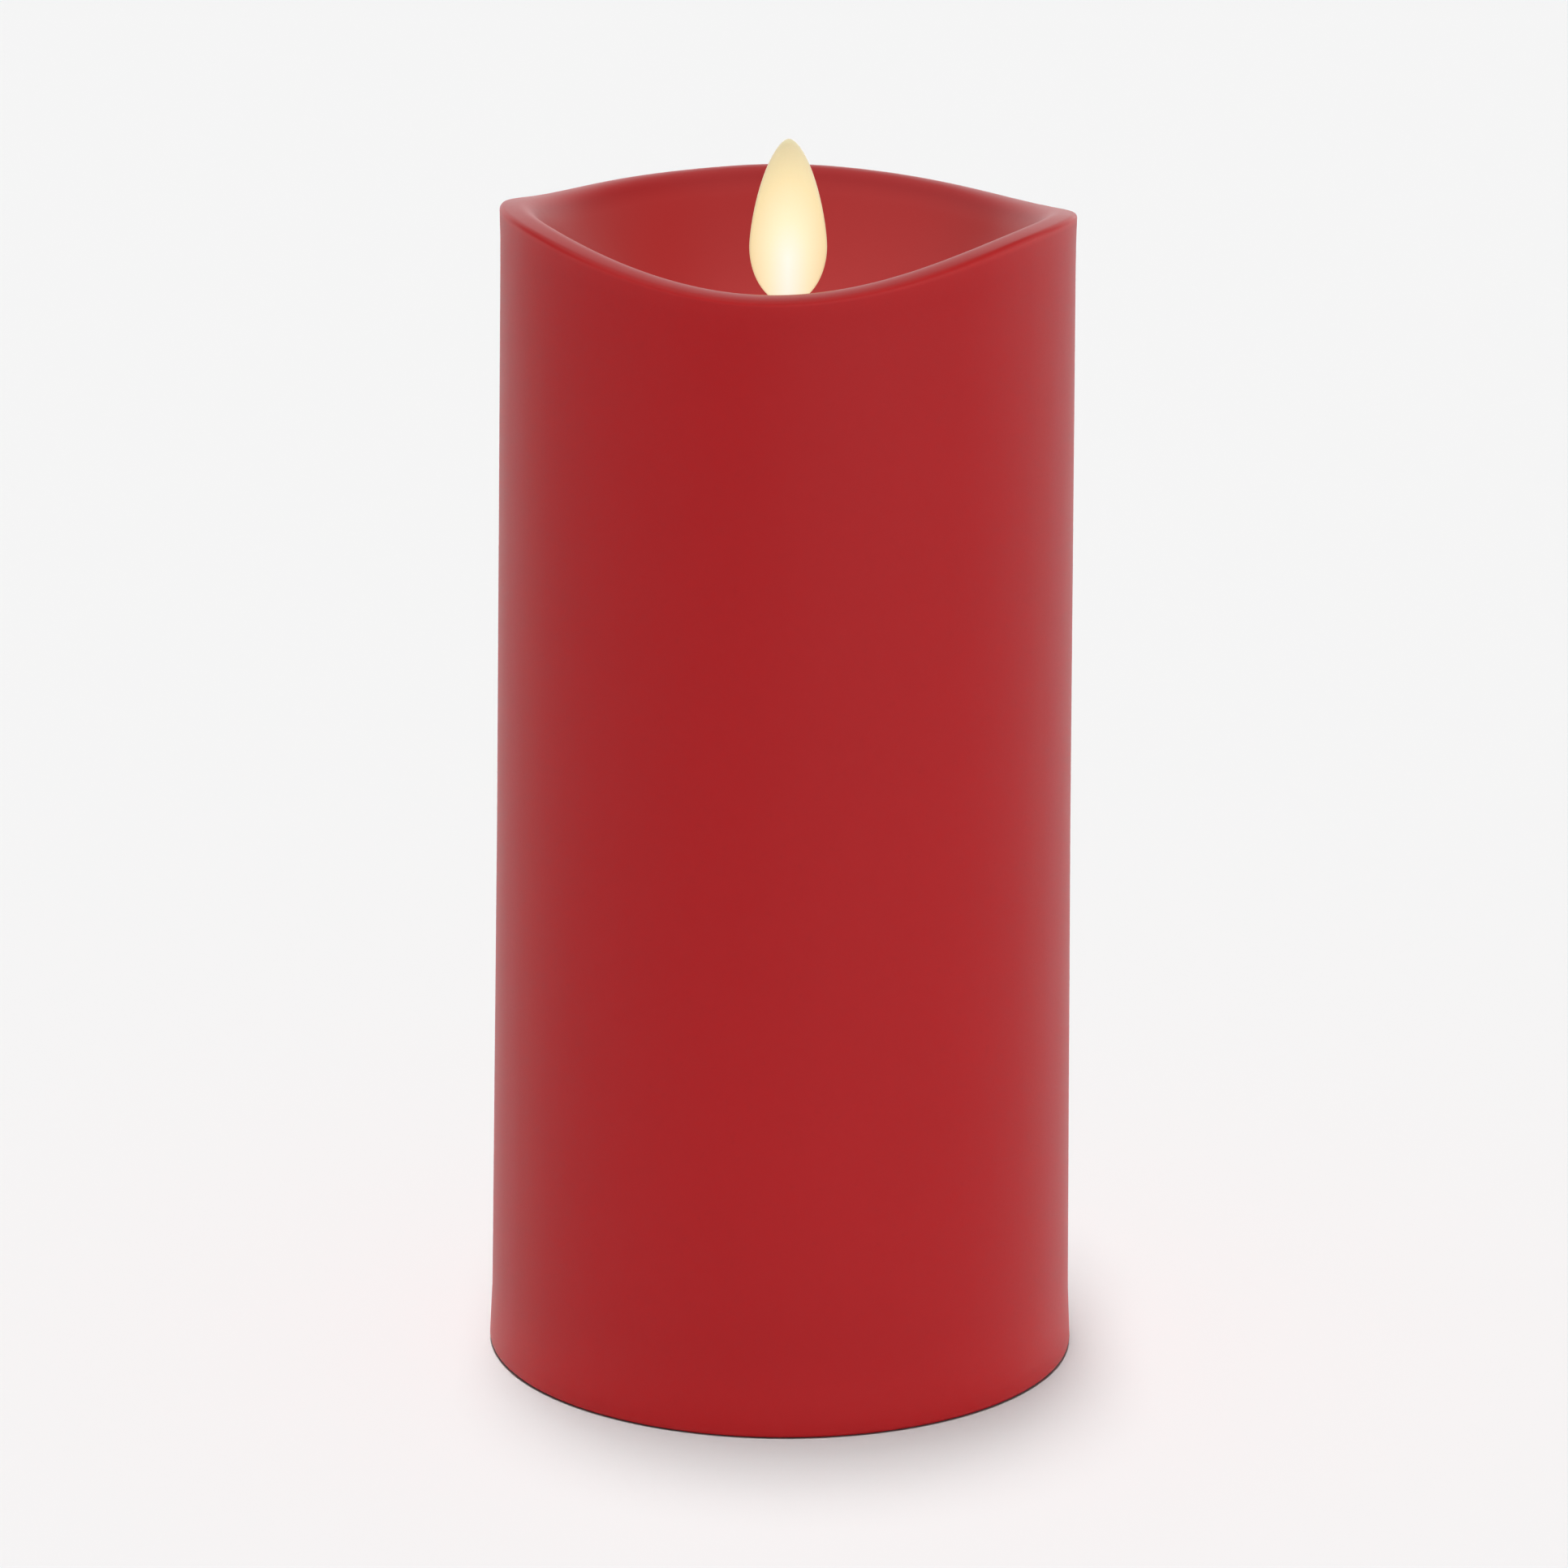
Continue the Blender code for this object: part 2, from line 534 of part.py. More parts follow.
def housing_half(name, side, mat):
    """One half of the clamshell that holds the pivot wire, the coil and the lamp."""
    low = DECK_Z + GAP
    near, far = GAP / 2, HOUSING_HALF_X
    spans = sorted((side * near, side * far))
    half = block(name, (spans[0], -HOUSING_HALF_Y, low), (spans[1], HOUSING_HALF_Y, HOUSING_TOP_Z), mat)
    ears = []
    for end in (-1, 1):
        x, y = side * HOUSING_EAR.x, end * HOUSING_EAR.y
        ears.append(block("guide", (x - HOUSING_EAR_RADIUS, min(y, end * 11.5 * MM), low),
                          (x + HOUSING_EAR_RADIUS, max(y, end * 11.5 * MM), low + HOUSING_EAR_THICK)))
        ears.append(hole((x, y, low), (x, y, low + HOUSING_EAR_THICK), HOUSING_EAR_RADIUS, 20))
    if side > 0:
        ears += [hole((far - 0.5 * MM, y, z), (BOARD_X - GAP, y, z), STANDOFF_RADIUS, 20)
                 for y, z in BOARD_SCREWS]
    join(half, *ears)
    inner = sorted((-side * MM, side * (far - HOUSING_WALL)))
    cuts = [block("guide", (inner[0], HOUSING_WALL - HOUSING_HALF_Y, low + HOUSING_WALL),
                  (inner[1], HOUSING_HALF_Y - HOUSING_WALL, HOUSING_TOP_Z - HOUSING_WALL)),
            hole((0, 0, HOUSING_TOP_Z - 2 * HOUSING_WALL), (0, 0, HOUSING_TOP_Z + MM),
                 HOUSING_MOUTH_RADIUS, 32),
            hole((0, -HOUSING_HALF_Y - MM, PIVOT_Z), (0, HOUSING_HALF_Y + MM, PIVOT_Z),
                 PIVOT_WIRE_RADIUS + GAP)]
    for end in (-1, 1):
        x, y = side * HOUSING_EAR.x, end * HOUSING_EAR.y
        cuts.append(hole((x, y, low - MM), (x, y, low + HOUSING_EAR_THICK + MM), SCREW_HOLE))
    if side > 0:
        pilot = BOARD_X - 4.5 * MM
        cuts += [hole((pilot, y, z), (BOARD_X, y, z), SCREW_HOLE) for y, z in BOARD_SCREWS]
        cuts += [hole((far - 3 * MM, y, z), (far + MM, y, z), THIN_WIRE_RADIUS + 2 * GAP)
                 for y, z in COIL_LEADS + LAMP_LEADS]
    return cut(half, *cuts)


def drive_coil(mats):
    low = DECK_Z + GAP + HOUSING_WALL + GAP
    high = low + BOBBIN_HEIGHT
    turned("coil_bobbin", [(BOBBIN_BORE, low), (BOBBIN_RADIUS, low), (BOBBIN_RADIUS, low + BOBBIN_FLANGE),
                           (BOBBIN_CORE, low + BOBBIN_FLANGE), (BOBBIN_CORE, high - BOBBIN_FLANGE),
                           (BOBBIN_RADIUS, high - BOBBIN_FLANGE), (BOBBIN_RADIUS, high), (BOBBIN_BORE, high)],
           mats["black_plastic"], segments=28)
    turned("drive_coil", ring_profile(BOBBIN_CORE + GAP, COIL_RADIUS, low + BOBBIN_FLANGE + GAP,
                                      high - BOBBIN_FLANGE - GAP), mats["copper"], segments=28)


def mechanism(mats):
    flame_collar(mats["black_plastic"])
    led_lamp(mats["lens"])
    housing_half("housing_left", -1, mats["white_plastic"])
    housing_half("housing_right", 1, mats["white_plastic"])
    reach = HOUSING_HALF_Y - 0.2 * MM
    rod("pivot_wire", (0, -reach, PIVOT_Z), (0, reach, PIVOT_Z), PIVOT_WIRE_RADIUS, mats["steel"],
        segments=10)
    drive_coil(mats)
    head_z = DECK_Z + GAP + HOUSING_EAR_THICK + GAP
    places = [(side, end) for side in (-1, 1) for end in (-1, 1)]
    for number, (side, end) in enumerate(places, 1):
        screw(f"housing_screw_{number}", (side * HOUSING_EAR.x, end * HOUSING_EAR.y, head_z),
              (0, 0, -1), 8 * MM, mats["steel"])


# ------------------------------------------------------------------ control board
def control_board(mats):
    board = block("control_board", (BOARD_X, -BOARD_HALF_Y, BOARD_LOW_Z),
                  (BOARD_X + BOARD_THICK, BOARD_HALF_Y, BOARD_HIGH_Z), mats["board"])
    cut(board, *[hole((BOARD_X - MM, y, z), (BOARD_X + 3 * MM, y, z), SCREW_HOLE)
                 for y, z in BOARD_SCREWS])
    for number, (y, z) in enumerate(BOARD_SCREWS, 1):
        screw(f"board_screw_{number}", (BOARD_FACE_X, y, z), (-1, 0, 0), 5.5 * MM, mats["steel"],
              head_radius=2.2 * MM)
    face = BOARD_FACE_X
    block("timer_chip", (face, -2.0 * MM, 129.0 * MM), (face + 1.6 * MM, 3.0 * MM, 135.0 * MM),
          mats["black_plastic"], bevel=0.2 * MM)
    can = 3.2 * MM
    rod("smoothing_capacitor", (face + can, 8.5 * MM, 123.0 * MM), (face + can, 8.5 * MM, 134.0 * MM),
        can, mats["capacitor"], segments=20)
    block("drive_transistor", (face, -9.5 * MM, 126.0 * MM), (face + 3.5 * MM, -5.0 * MM, 130.5 * MM),
          mats["black_plastic"], bevel=0.5 * MM)
    block("clock_crystal", (face, -9.0 * MM, 136.0 * MM), (face + 3.4 * MM, -4.6 * MM, 144.0 * MM),
          mats["steel"], bevel=0.8 * MM)
    for number, z in enumerate((140.0 * MM, 144.0 * MM), 1):
        rod(f"resistor_{number}", (face + 1.1 * MM, -1.5 * MM, z), (face + 1.1 * MM, 4.5 * MM, z), 1.0 * MM,
            mats["resistor"], segments=12)


# ------------------------------------------------------------------ canister
def boss_places():
    turns = [math.radians(angle) for angle in BOSS_ANGLES]
    return [(BOSS_RING * math.cos(turn), BOSS_RING * math.sin(turn)) for turn in turns]


def inner_sleeve(mat):
    low = BASE_TOP_Z + GAP
    inner = SLEEVE_RADIUS - SLEEVE_WALL
    under = DECK_Z - DECK_THICK
    profile = [(0.0, DECK_Z), (SLEEVE_RADIUS - MM, DECK_Z), (SLEEVE_RADIUS, DECK_Z - MM),
               (SLEEVE_RADIUS, low), (inner, low), (inner, under), (0.0, under)]
    sleeve = turned("inner_sleeve", profile, mat, segments=48)
    join(sleeve, *[hole((x, y, low), (x, y, low + BOSS_HEIGHT), BOSS_RADIUS, 20)
                   for x, y in boss_places()])
    cuts = [hole((x, y, low - MM), (x, y, low + BOSS_HEIGHT - 2 * MM), SCREW_HOLE)
            for x, y in boss_places()]
    for side in (-1, 1):
        for end in (-1, 1):
            x, y = side * HOUSING_EAR.x, end * HOUSING_EAR.y
            cuts.append(hole((x, y, under - MM), (x, y, DECK_Z + MM), SCREW_HOLE))
    slot = rounded_rectangle(DECK_SLOT_X - 3 * MM, DECK_SLOT_X + 3 * MM, -9 * MM, 9 * MM, 2.5 * MM, 3)
    cuts.append(prism("guide", slot, under - MM, DECK_Z + MM))
    return cut(sleeve, *cuts)


# ------------------------------------------------------------------ base cap and door
def base_cap(mat):
    """The bottom plate: door opening, hinge sockets, switch slot and screw recesses."""
    profile = [(0.0, BASE_TOP_Z), (BASE_RADIUS, BASE_TOP_Z), (BASE_RADIUS, BASE_Z + 0.4 * MM),
               (BASE_RADIUS - 0.4 * MM, BASE_Z), (0.0, BASE_Z)]
    cap = turned("base_cap", profile, mat, segments=48)
    join(cap, *[block("guide", (min(x0, x1), HINGE_Y - 1.6 * MM, BASE_Z + MM),
                      (max(x0, x1), HINGE_Y + 2.2 * MM, CHEEK_TOP_Z))
                for x0, x1 in hinge_spans(KNUCKLE_OUTER_X + GAP, CHEEK_WIDTH)])
    low, high = BASE_Z - MM, BASE_TOP_Z + MM
    opening = rounded_rectangle(-DOOR_HALF_X - GAP, DOOR_HALF_X + GAP, DOOR_FRONT_Y - GAP,
                                DOOR_BACK_Y + DOOR_SWING_GAP, DOOR_CORNER, 4)
    tongue = rounded_rectangle(-TONGUE_HALF_X - GAP, TONGUE_HALF_X + GAP, TONGUE_FRONT_Y - GAP,
                               DOOR_FRONT_Y + 2 * MM, MM, 2)
    cuts = [prism("guide", opening, low, high), prism("guide", tongue, low, high)]
    reach = KNUCKLE_RADIUS + GAP
    for x0, x1 in hinge_spans(KNUCKLE_INNER_X - GAP, KNUCKLE_OUTER_X - KNUCKLE_INNER_X + 2 * GAP):
        cuts.append(block("guide", (min(x0, x1), DOOR_BACK_Y - MM, low),
                          (max(x0, x1), HINGE_Y + reach, CHEEK_TOP_Z + MM)))
    for x0, x1 in hinge_spans(KNUCKLE_OUTER_X, HINGE_PIN_REACH + GAP):
        cuts.append(hole((x0, HINGE_Y, HINGE_Z), (x1, HINGE_Y, HINGE_Z), HINGE_SOCKET_RADIUS))
    half = SWITCH_SLOT / 2
    cuts.append(block("guide", (-half.x, SWITCH_Y - half.y, low), (half.x, SWITCH_Y + half.y, high)))
    blind = BASE_Z + 0.7 * MM
    cuts += [hole((x, SWITCH_Y, blind), (x, SWITCH_Y, high), SMALL_HOLE)
             for x in (-SWITCH_EAR_X, SWITCH_EAR_X)]
    cuts += [hole((x, 0, blind), (x, 0, high), SCREW_HOLE) for x in (-HOLDER_EAR_X, HOLDER_EAR_X)]
    for x, y in boss_places():
        cuts.append(hole((x, y, low), (x, y, high), SCREW_HOLE))
        cuts.append(hole((x, y, low), (x, y, BASE_Z + MM), SCREW_HEAD + GAP, 20))
    return cut(cap, *cuts)


def hinge_spans(start, length):
    return [(side * start, side * (start + length)) for side in (-1, 1)]


def battery_door(mats):
    """The door hangs from two moulded knuckles; its origin is on the hinge's axis."""
    axis = pivot("door_hinge", (0.0, HINGE_Y, HINGE_Z))
    low, high = BASE_Z - HINGE_Z, BASE_Z + DOOR_THICK - HINGE_Z
    front, back = DOOR_FRONT_Y - HINGE_Y, DOOR_BACK_Y - HINGE_Y
    outline = rounded_rectangle(-DOOR_HALF_X, DOOR_HALF_X, front, back, DOOR_CORNER, 4)
    door = prism("battery_door", outline, low, high, mats["black_plastic"], axis)
    tongue = rounded_rectangle(-TONGUE_HALF_X, TONGUE_HALF_X, TONGUE_FRONT_Y - HINGE_Y,
                               front + 2 * MM, MM, 2)
    adds = [prism("guide", tongue, low, high)]
    for x0, x1 in hinge_spans(KNUCKLE_INNER_X, KNUCKLE_OUTER_X - KNUCKLE_INNER_X):
        adds.append(block("guide", (min(x0, x1), back - MM, low), (max(x0, x1), 0.0, high)))
        adds.append(hole((x0, 0, 0), (x1, 0, 0), KNUCKLE_RADIUS, 20))
    for x0, x1 in hinge_spans(KNUCKLE_OUTER_X - MM, HINGE_PIN_REACH + MM - GAP):
        adds.append(hole((x0, 0, 0), (x1, 0, 0), HINGE_PIN_RADIUS, 12))
    join(door, *adds)
    groove_y = (TONGUE_FRONT_Y + DOOR_FRONT_Y) / 2 - HINGE_Y
    cut(door, hole((-5 * MM, groove_y, low), (5 * MM, groove_y, low), 0.6 * MM, 12))
    strip_low = high + GAP
    strip = [(-17.0 * MM, 0.0), (7.0 * MM, 0.0), (9.0 * MM, 3.1 * MM), (18.0 * MM, 3.1 * MM)]
    outline = [(x, strip_low + z) for x, z in strip]
    outline += [(x, strip_low + z + CONTACT_THICK) for x, z in reversed(strip)]
    reach = 4.5 * MM
    prism("door_contact_strip", outline, -HINGE_Y - reach, -HINGE_Y + reach, mats["steel"], axis, axis="Y")
    spring_low = strip_low + CONTACT_THICK + GAP + SPRING_WIRE
    spring_high = CELL_BOTTOM_Z - GAP - SPRING_WIRE - HINGE_Z
    tube("door_contact_spring", coil_route(-CELL_X, -HINGE_Y, spring_low, spring_high, 5.0 * MM, 2.6 * MM, 2.5),
         SPRING_WIRE, mats["steel"], axis)


def coil_route(x, y, low, high, wide, narrow, turns, steps=12):
    """Points of a conical spring from its wide end at one height to its narrow end at the other."""
    count = int(turns * steps)
    route = []
    for step in range(count + 1):
        t = step / count
        angle = math.tau * turns * t
        radius = wide + (narrow - wide) * t
        route.append((x + radius * math.cos(angle), y + radius * math.sin(angle), low + (high - low) * t))
    return route


# ------------------------------------------------------------------ battery holder, cells, contacts
def battery_holder(mat):
    low = BASE_TOP_Z + GAP
    holder = prism("battery_holder", stadium(CELL_X, HOLDER_BAY_RADIUS + HOLDER_WALL), low, HOLDER_TOP_Z, mat)
    ears = []
    for side in (-1, 1):
        x = side * HOLDER_EAR_X
        inner = side * (CELL_X + HOLDER_BAY_RADIUS + 0.5 * MM)
        ears.append(block("guide", (min(x, inner), -3 * MM, low),
                          (max(x, inner), 3 * MM, low + HOLDER_EAR_THICK)))
        ears.append(hole((x, 0, low), (x, 0, low + HOLDER_EAR_THICK), 3 * MM, 20))
    join(holder, *ears)
    tail = 2.6 * MM
    cuts = [prism("guide", stadium(CELL_X, HOLDER_BAY_RADIUS), low - MM, HOLDER_TOP_Z - HOLDER_ROOF),
            block("guide", (-CELL_X - MM, -tail, HOLDER_TOP_Z - 2 * HOLDER_ROOF),
                  (-CELL_X + MM, tail, HOLDER_TOP_Z + MM)),
            hole((CELL_X, 0, HOLDER_TOP_Z - 2 * HOLDER_ROOF), (CELL_X, 0, HOLDER_TOP_Z + MM), MM)]
    cuts += [hole((x, 0, low - MM), (x, 0, low + 3 * MM), SCREW_HOLE) for x in (-HOLDER_EAR_X, HOLDER_EAR_X)]
    return cut(holder, *cuts)


def battery_cell(name, x, upright, mat):
    """A C cell; the two stand head to tail so that they work in series."""
    body = CELL_LENGTH - CELL_NUB_HEIGHT
    rim = 0.6 * MM
    profile = [(0.0, 0.0), (CELL_RADIUS - rim, 0.0), (CELL_RADIUS, rim), (CELL_RADIUS, body - rim),
               (CELL_RADIUS - rim, body), (CELL_NUB_RADIUS, body), (CELL_NUB_RADIUS, CELL_LENGTH - 0.3 * MM),
               (CELL_NUB_RADIUS - 0.3 * MM, CELL_LENGTH), (0.0, CELL_LENGTH)]
    cell = turned(name, profile, mat, segments=24)
    cell.location = (x, 0.0, CELL_BOTTOM_Z if upright else CELL_BOTTOM_Z + CELL_LENGTH)
    cell.rotation_euler = (0.0 if upright else math.pi, 0.0, 0.0)
    return cell


def contacts(mats):
    top = CELL_BOTTOM_Z + CELL_LENGTH + GAP
    pad = 5.0 * MM
    half = CONTACT_THICK / 2
    outline = [(-CELL_X - pad, top), (-CELL_X + pad, top), (-CELL_X + pad, top + CONTACT_THICK),
               (-CELL_X + half, top + CONTACT_THICK), (-CELL_X + half, CONTACT_TAIL_TOP_Z),
               (-CELL_X - half, CONTACT_TAIL_TOP_Z), (-CELL_X - half, top + CONTACT_THICK),
               (-CELL_X - pad, top + CONTACT_THICK)]
    prism("contact_positive", outline, -2.0 * MM, 2.0 * MM, mats["steel"], axis="Y")
    roof = HOLDER_TOP_Z - HOLDER_ROOF
    route = coil_route(CELL_X, 0.0, top + SPRING_WIRE, roof - 2 * SPRING_WIRE, 5.0 * MM, 1.2 * MM, 2.0)
    route += [(CELL_X, 0.0, roof + 0.5 * MM), (CELL_X, 0.0, CONTACT_TAIL_TOP_Z)]
    tube("contact_spring", route, SPRING_WIRE, mats["steel"])


def power(mats):
    battery_holder(mats["black_plastic"])
    battery_cell("battery_cell_left", -CELL_X, True, mats["cell"])
    battery_cell("battery_cell_right", CELL_X, False, mats["cell"])
    contacts(mats)
    ear_top = BASE_TOP_Z + GAP + HOLDER_EAR_THICK + GAP
    for number, x in enumerate((-HOLDER_EAR_X, HOLDER_EAR_X), 1):
        screw(f"holder_screw_{number}", (x, 0, ear_top), (0, 0, -1), 3.4 * MM, mats["steel"],
              head_radius=2.2 * MM)
    for number, (x, y) in enumerate(boss_places(), 1):
        screw(f"base_screw_{number}", (x, y, BASE_Z + MM - GAP), (0, 0, 1), 9 * MM, mats["steel"],
              head_height=1.0 * MM)


# ------------------------------------------------------------------ slide switch
def slide_switch(mats):
    """A sheet-metal case with a slider inside; the knob reaches down through the base cap."""
    low = BASE_TOP_Z + GAP
    size = SWITCH_CASE
    wall = SWITCH_CASE_WALL
    ear_reach = SWITCH_EAR_X + 1.8 * MM
    case = block("switch_case", (-size.x / 2, SWITCH_Y - size.y / 2, low),
                 (size.x / 2, SWITCH_Y + size.y / 2, low + size.z), mats["steel"])
    ears = rounded_rectangle(-ear_reach, ear_reach, SWITCH_Y - 2 * MM, SWITCH_Y + 2 * MM, 0.8 * MM, 2)
    join(case, prism("guide", ears, low, low + wall))
    half = SWITCH_SLOT / 2
    cuts = [block("guide", (wall - size.x / 2, SWITCH_Y + wall - size.y / 2, low + wall),
                  (size.x / 2 - wall, SWITCH_Y - wall + size.y / 2, low + size.z - wall)),
            block("guide", (-half.x, SWITCH_Y - half.y, low - MM), (half.x, SWITCH_Y + half.y, low + MM))]
    cuts += [hole((x, SWITCH_Y, low - MM), (x, SWITCH_Y, low + MM), SMALL_HOLE)
             for x in (-SWITCH_EAR_X, SWITCH_EAR_X)]
    cut(case, *cuts)
    for number, x in enumerate((-SWITCH_EAR_X, SWITCH_EAR_X), 1):
        screw(f"switch_screw_{number}", (x, SWITCH_Y, low + wall + GAP), (0, 0, -1), 1.9 * MM, mats["steel"],
              SMALL_SHANK, SMALL_HEAD, 0.9 * MM)
    axis = pivot("switch_travel", (-SWITCH_TRAVEL / 2, SWITCH_Y, 0.0))
    floor = low + wall + GAP
    slider = block("switch_slider", (-2.5 * MM, -2.1 * MM, floor), (2.5 * MM, 2.1 * MM, floor + 2 * MM),
                   mats["black_plastic"], axis)
    join(slider, block("guide", (-KNOB.x / 2, -KNOB.y / 2, KNOB_BOTTOM_Z),
                       (KNOB.x / 2, KNOB.y / 2, floor + MM)))


# ------------------------------------------------------------------ wires
def wires(mats):
    """Each wire runs along its real route inside the canister, up through the deck to the board."""
    end = BOARD_FACE_X
    rise = CONTACT_TAIL_TOP_Z + GAP
    switch_top = BASE_TOP_Z + GAP + SWITCH_CASE.z + GAP
    deck_x = DECK_SLOT_X
    routes = {
        "wire_battery_positive": ("red", (-CELL_X, 0, rise), (-CELL_X, 0, 72 * MM), (2 * MM, -5 * MM, 84 * MM),
                                  (18 * MM, -6.5 * MM, 96 * MM), (deck_x, -6 * MM, 106 * MM),
                                  (deck_x, -6 * MM, 113 * MM), (23 * MM, -5.5 * MM, 118 * MM),
                                  (end, -5.5 * MM, 120 * MM)),
        "wire_battery_negative": ("black", (CELL_X, 0, rise), (CELL_X, 0, 72 * MM), (19 * MM, -1 * MM, 88 * MM),
                                  (deck_x, -2.5 * MM, 102 * MM), (deck_x, -2.5 * MM, 113 * MM),
                                  (22.5 * MM, -2.5 * MM, 117 * MM), (end, -2.5 * MM, 118 * MM)),
        "wire_switch_feed": ("red", (-3 * MM, SWITCH_Y, switch_top), (-3 * MM, SWITCH_Y, 14 * MM),
                             (2 * MM, -27 * MM, 38 * MM), (12 * MM, -27 * MM, 62 * MM),
                             (27 * MM, -17 * MM, 84 * MM), (31 * MM, -2 * MM, 97 * MM),
                             (28 * MM, 2 * MM, 105 * MM), (deck_x, 2 * MM, 110 * MM),
                             (deck_x, 2 * MM, 114 * MM), (end, 1.5 * MM, 118 * MM)),
        "wire_switch_return": ("yellow", (3 * MM, SWITCH_Y, switch_top), (3 * MM, SWITCH_Y, 14 * MM),
                               (9 * MM, -28 * MM, 36 * MM), (19 * MM, -27 * MM, 58 * MM),
                               (30 * MM, -15 * MM, 79 * MM), (33 * MM, 3 * MM, 94 * MM),
                               (29 * MM, 6 * MM, 104 * MM), (deck_x, 6 * MM, 110 * MM),
                               (deck_x, 6 * MM, 113 * MM), (end, 5 * MM, 117 * MM)),
    }
    for name, (colour, *route) in routes.items():
        tube(name, route, WIRE_RADIUS, mats[colour], smooth_steps=2)
    back = BOARD_X - GAP
    for name, (y, z) in zip(("wire_coil_start", "wire_coil_end"), COIL_LEADS):
        tube(name, [(7.6 * MM, y, z), (back, y, z)], THIN_WIRE_RADIUS, mats["copper"])
    wall = HOUSING_HALF_X - HOUSING_WALL
    lamp_leads = zip(("wire_lamp_positive", "wire_lamp_negative"), ("red", "black"),
                     (-5.15 * MM, -6.85 * MM), LAMP_LEADS)
    for name, colour, start_y, (y, z) in lamp_leads:
        top = LAMP_BASE.z - 0.5 * MM
        route = [(0, start_y, top), (0, start_y, top - 2 * MM),
                 (wall / 2, (start_y + y) / 2, (149 * MM + z) / 2), (wall - MM, y, z), (back, y, z)]
        tube(name, route, THIN_WIRE_RADIUS, mats[colour], smooth_steps=3)


def main():
    empty_scene()
    mats = {
        "wax": material("red_wax", (0.39, 0.02, 0.025), 0.38),
        "flame": material("flame_plastic", (1.0, 0.83, 0.52), 0.45),
        "white_plastic": material("white_plastic", (0.80, 0.79, 0.75), 0.5),
        "black_plastic": material("black_plastic", (0.02, 0.02, 0.022), 0.5),
        "steel": material("plated_steel", (0.62, 0.62, 0.6), 0.3, 1.0),
        "magnet": material("nickel_magnet", (0.68, 0.66, 0.62), 0.2, 1.0),
        "copper": material("enamelled_copper", (0.72, 0.3, 0.14), 0.35, 1.0),
        "lens": material("clear_epoxy", (0.93, 0.9, 0.8), 0.1),
        "board": material("green_board", (0.03, 0.2, 0.08), 0.45),
        "capacitor": material("capacitor_sleeve", (0.02, 0.03, 0.1), 0.4),
        "resistor": material("resistor_body", (0.68, 0.55, 0.36), 0.5),
        "cell": material("cell_jacket", (0.1, 0.1, 0.11), 0.35, 0.3),
        "red": material("red_wire", (0.6, 0.02, 0.02), 0.5),
        "black": material("black_wire", (0.015, 0.015, 0.015), 0.5),
        "yellow": material("yellow_wire", (0.8, 0.6, 0.05), 0.5),
    }
    wax_shell(mats["wax"])
    flame_group(mats)
    mechanism(mats)
    control_board(mats)
    inner_sleeve(mats["white_plastic"])
    base_cap(mats["black_plastic"])
    battery_door(mats)
    power(mats)
    slide_switch(mats)
    wires(mats)


main()
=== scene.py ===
# %% [markdown]
# # A flameless pillar candle
# This notebook dresses a finished mechanical model of a battery candle: a shell of dyed wax with a
# melted rim, and a frosted plastic flame that swings over a coil.  The mechanical model is the frame.
# It says where everything is, and it is loaded first, so that every later size can be read from it.

# %% Load the frame and measure it
import json
import math

import bmesh
import bpy
import numpy as np
from mathutils import Matrix, Vector


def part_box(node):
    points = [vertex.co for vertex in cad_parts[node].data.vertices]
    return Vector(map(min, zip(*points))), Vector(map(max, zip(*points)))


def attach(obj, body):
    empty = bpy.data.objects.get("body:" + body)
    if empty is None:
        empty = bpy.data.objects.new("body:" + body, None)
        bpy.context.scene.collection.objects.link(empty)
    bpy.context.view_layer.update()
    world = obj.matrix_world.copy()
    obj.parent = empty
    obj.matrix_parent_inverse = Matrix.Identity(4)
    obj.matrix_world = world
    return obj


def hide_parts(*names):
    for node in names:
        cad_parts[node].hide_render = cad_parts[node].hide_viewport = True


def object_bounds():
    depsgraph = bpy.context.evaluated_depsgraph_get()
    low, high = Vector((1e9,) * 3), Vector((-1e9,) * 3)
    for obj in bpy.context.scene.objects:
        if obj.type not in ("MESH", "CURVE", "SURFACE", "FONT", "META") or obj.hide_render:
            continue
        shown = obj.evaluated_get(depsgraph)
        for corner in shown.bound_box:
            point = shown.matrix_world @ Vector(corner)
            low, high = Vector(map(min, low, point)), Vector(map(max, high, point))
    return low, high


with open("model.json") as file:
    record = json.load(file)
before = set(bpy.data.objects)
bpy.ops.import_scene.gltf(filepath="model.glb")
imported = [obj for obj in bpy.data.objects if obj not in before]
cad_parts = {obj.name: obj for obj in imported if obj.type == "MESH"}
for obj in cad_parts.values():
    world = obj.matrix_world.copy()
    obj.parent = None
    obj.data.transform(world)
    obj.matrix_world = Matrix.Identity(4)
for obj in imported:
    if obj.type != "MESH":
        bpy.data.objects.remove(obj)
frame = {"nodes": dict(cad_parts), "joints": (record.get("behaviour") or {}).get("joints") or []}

cad_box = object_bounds()
MM = 0.001
cad_size = cad_box[1] - cad_box[0]
print(f"frame: {len(frame['nodes'])} nodes, {cad_size.x:.4f} x {cad_size.y:.4f} x {cad_size.z:.4f} m")

# %% [markdown]
# ## Camera
# A pillar seen from slightly above shows its bowl and still looks tall.  A long lens from a metre
# away keeps its sides nearly parallel.  The camera looks at a point near the middle of the candle's
# axis, and it leans by less than half a degree, as one on a tripod set by hand does.

# %% Place the camera
EYE = Vector((0.0, -1.0569, 0.3954))
LOOK_AT = Vector((0.0, 0.0, 0.0906))
LENS_MM = 163.0
SENSOR_MM = 36.0
LEAN_DEGREES = 0.444
NEAREST, FURTHEST = 0.05, 60.0


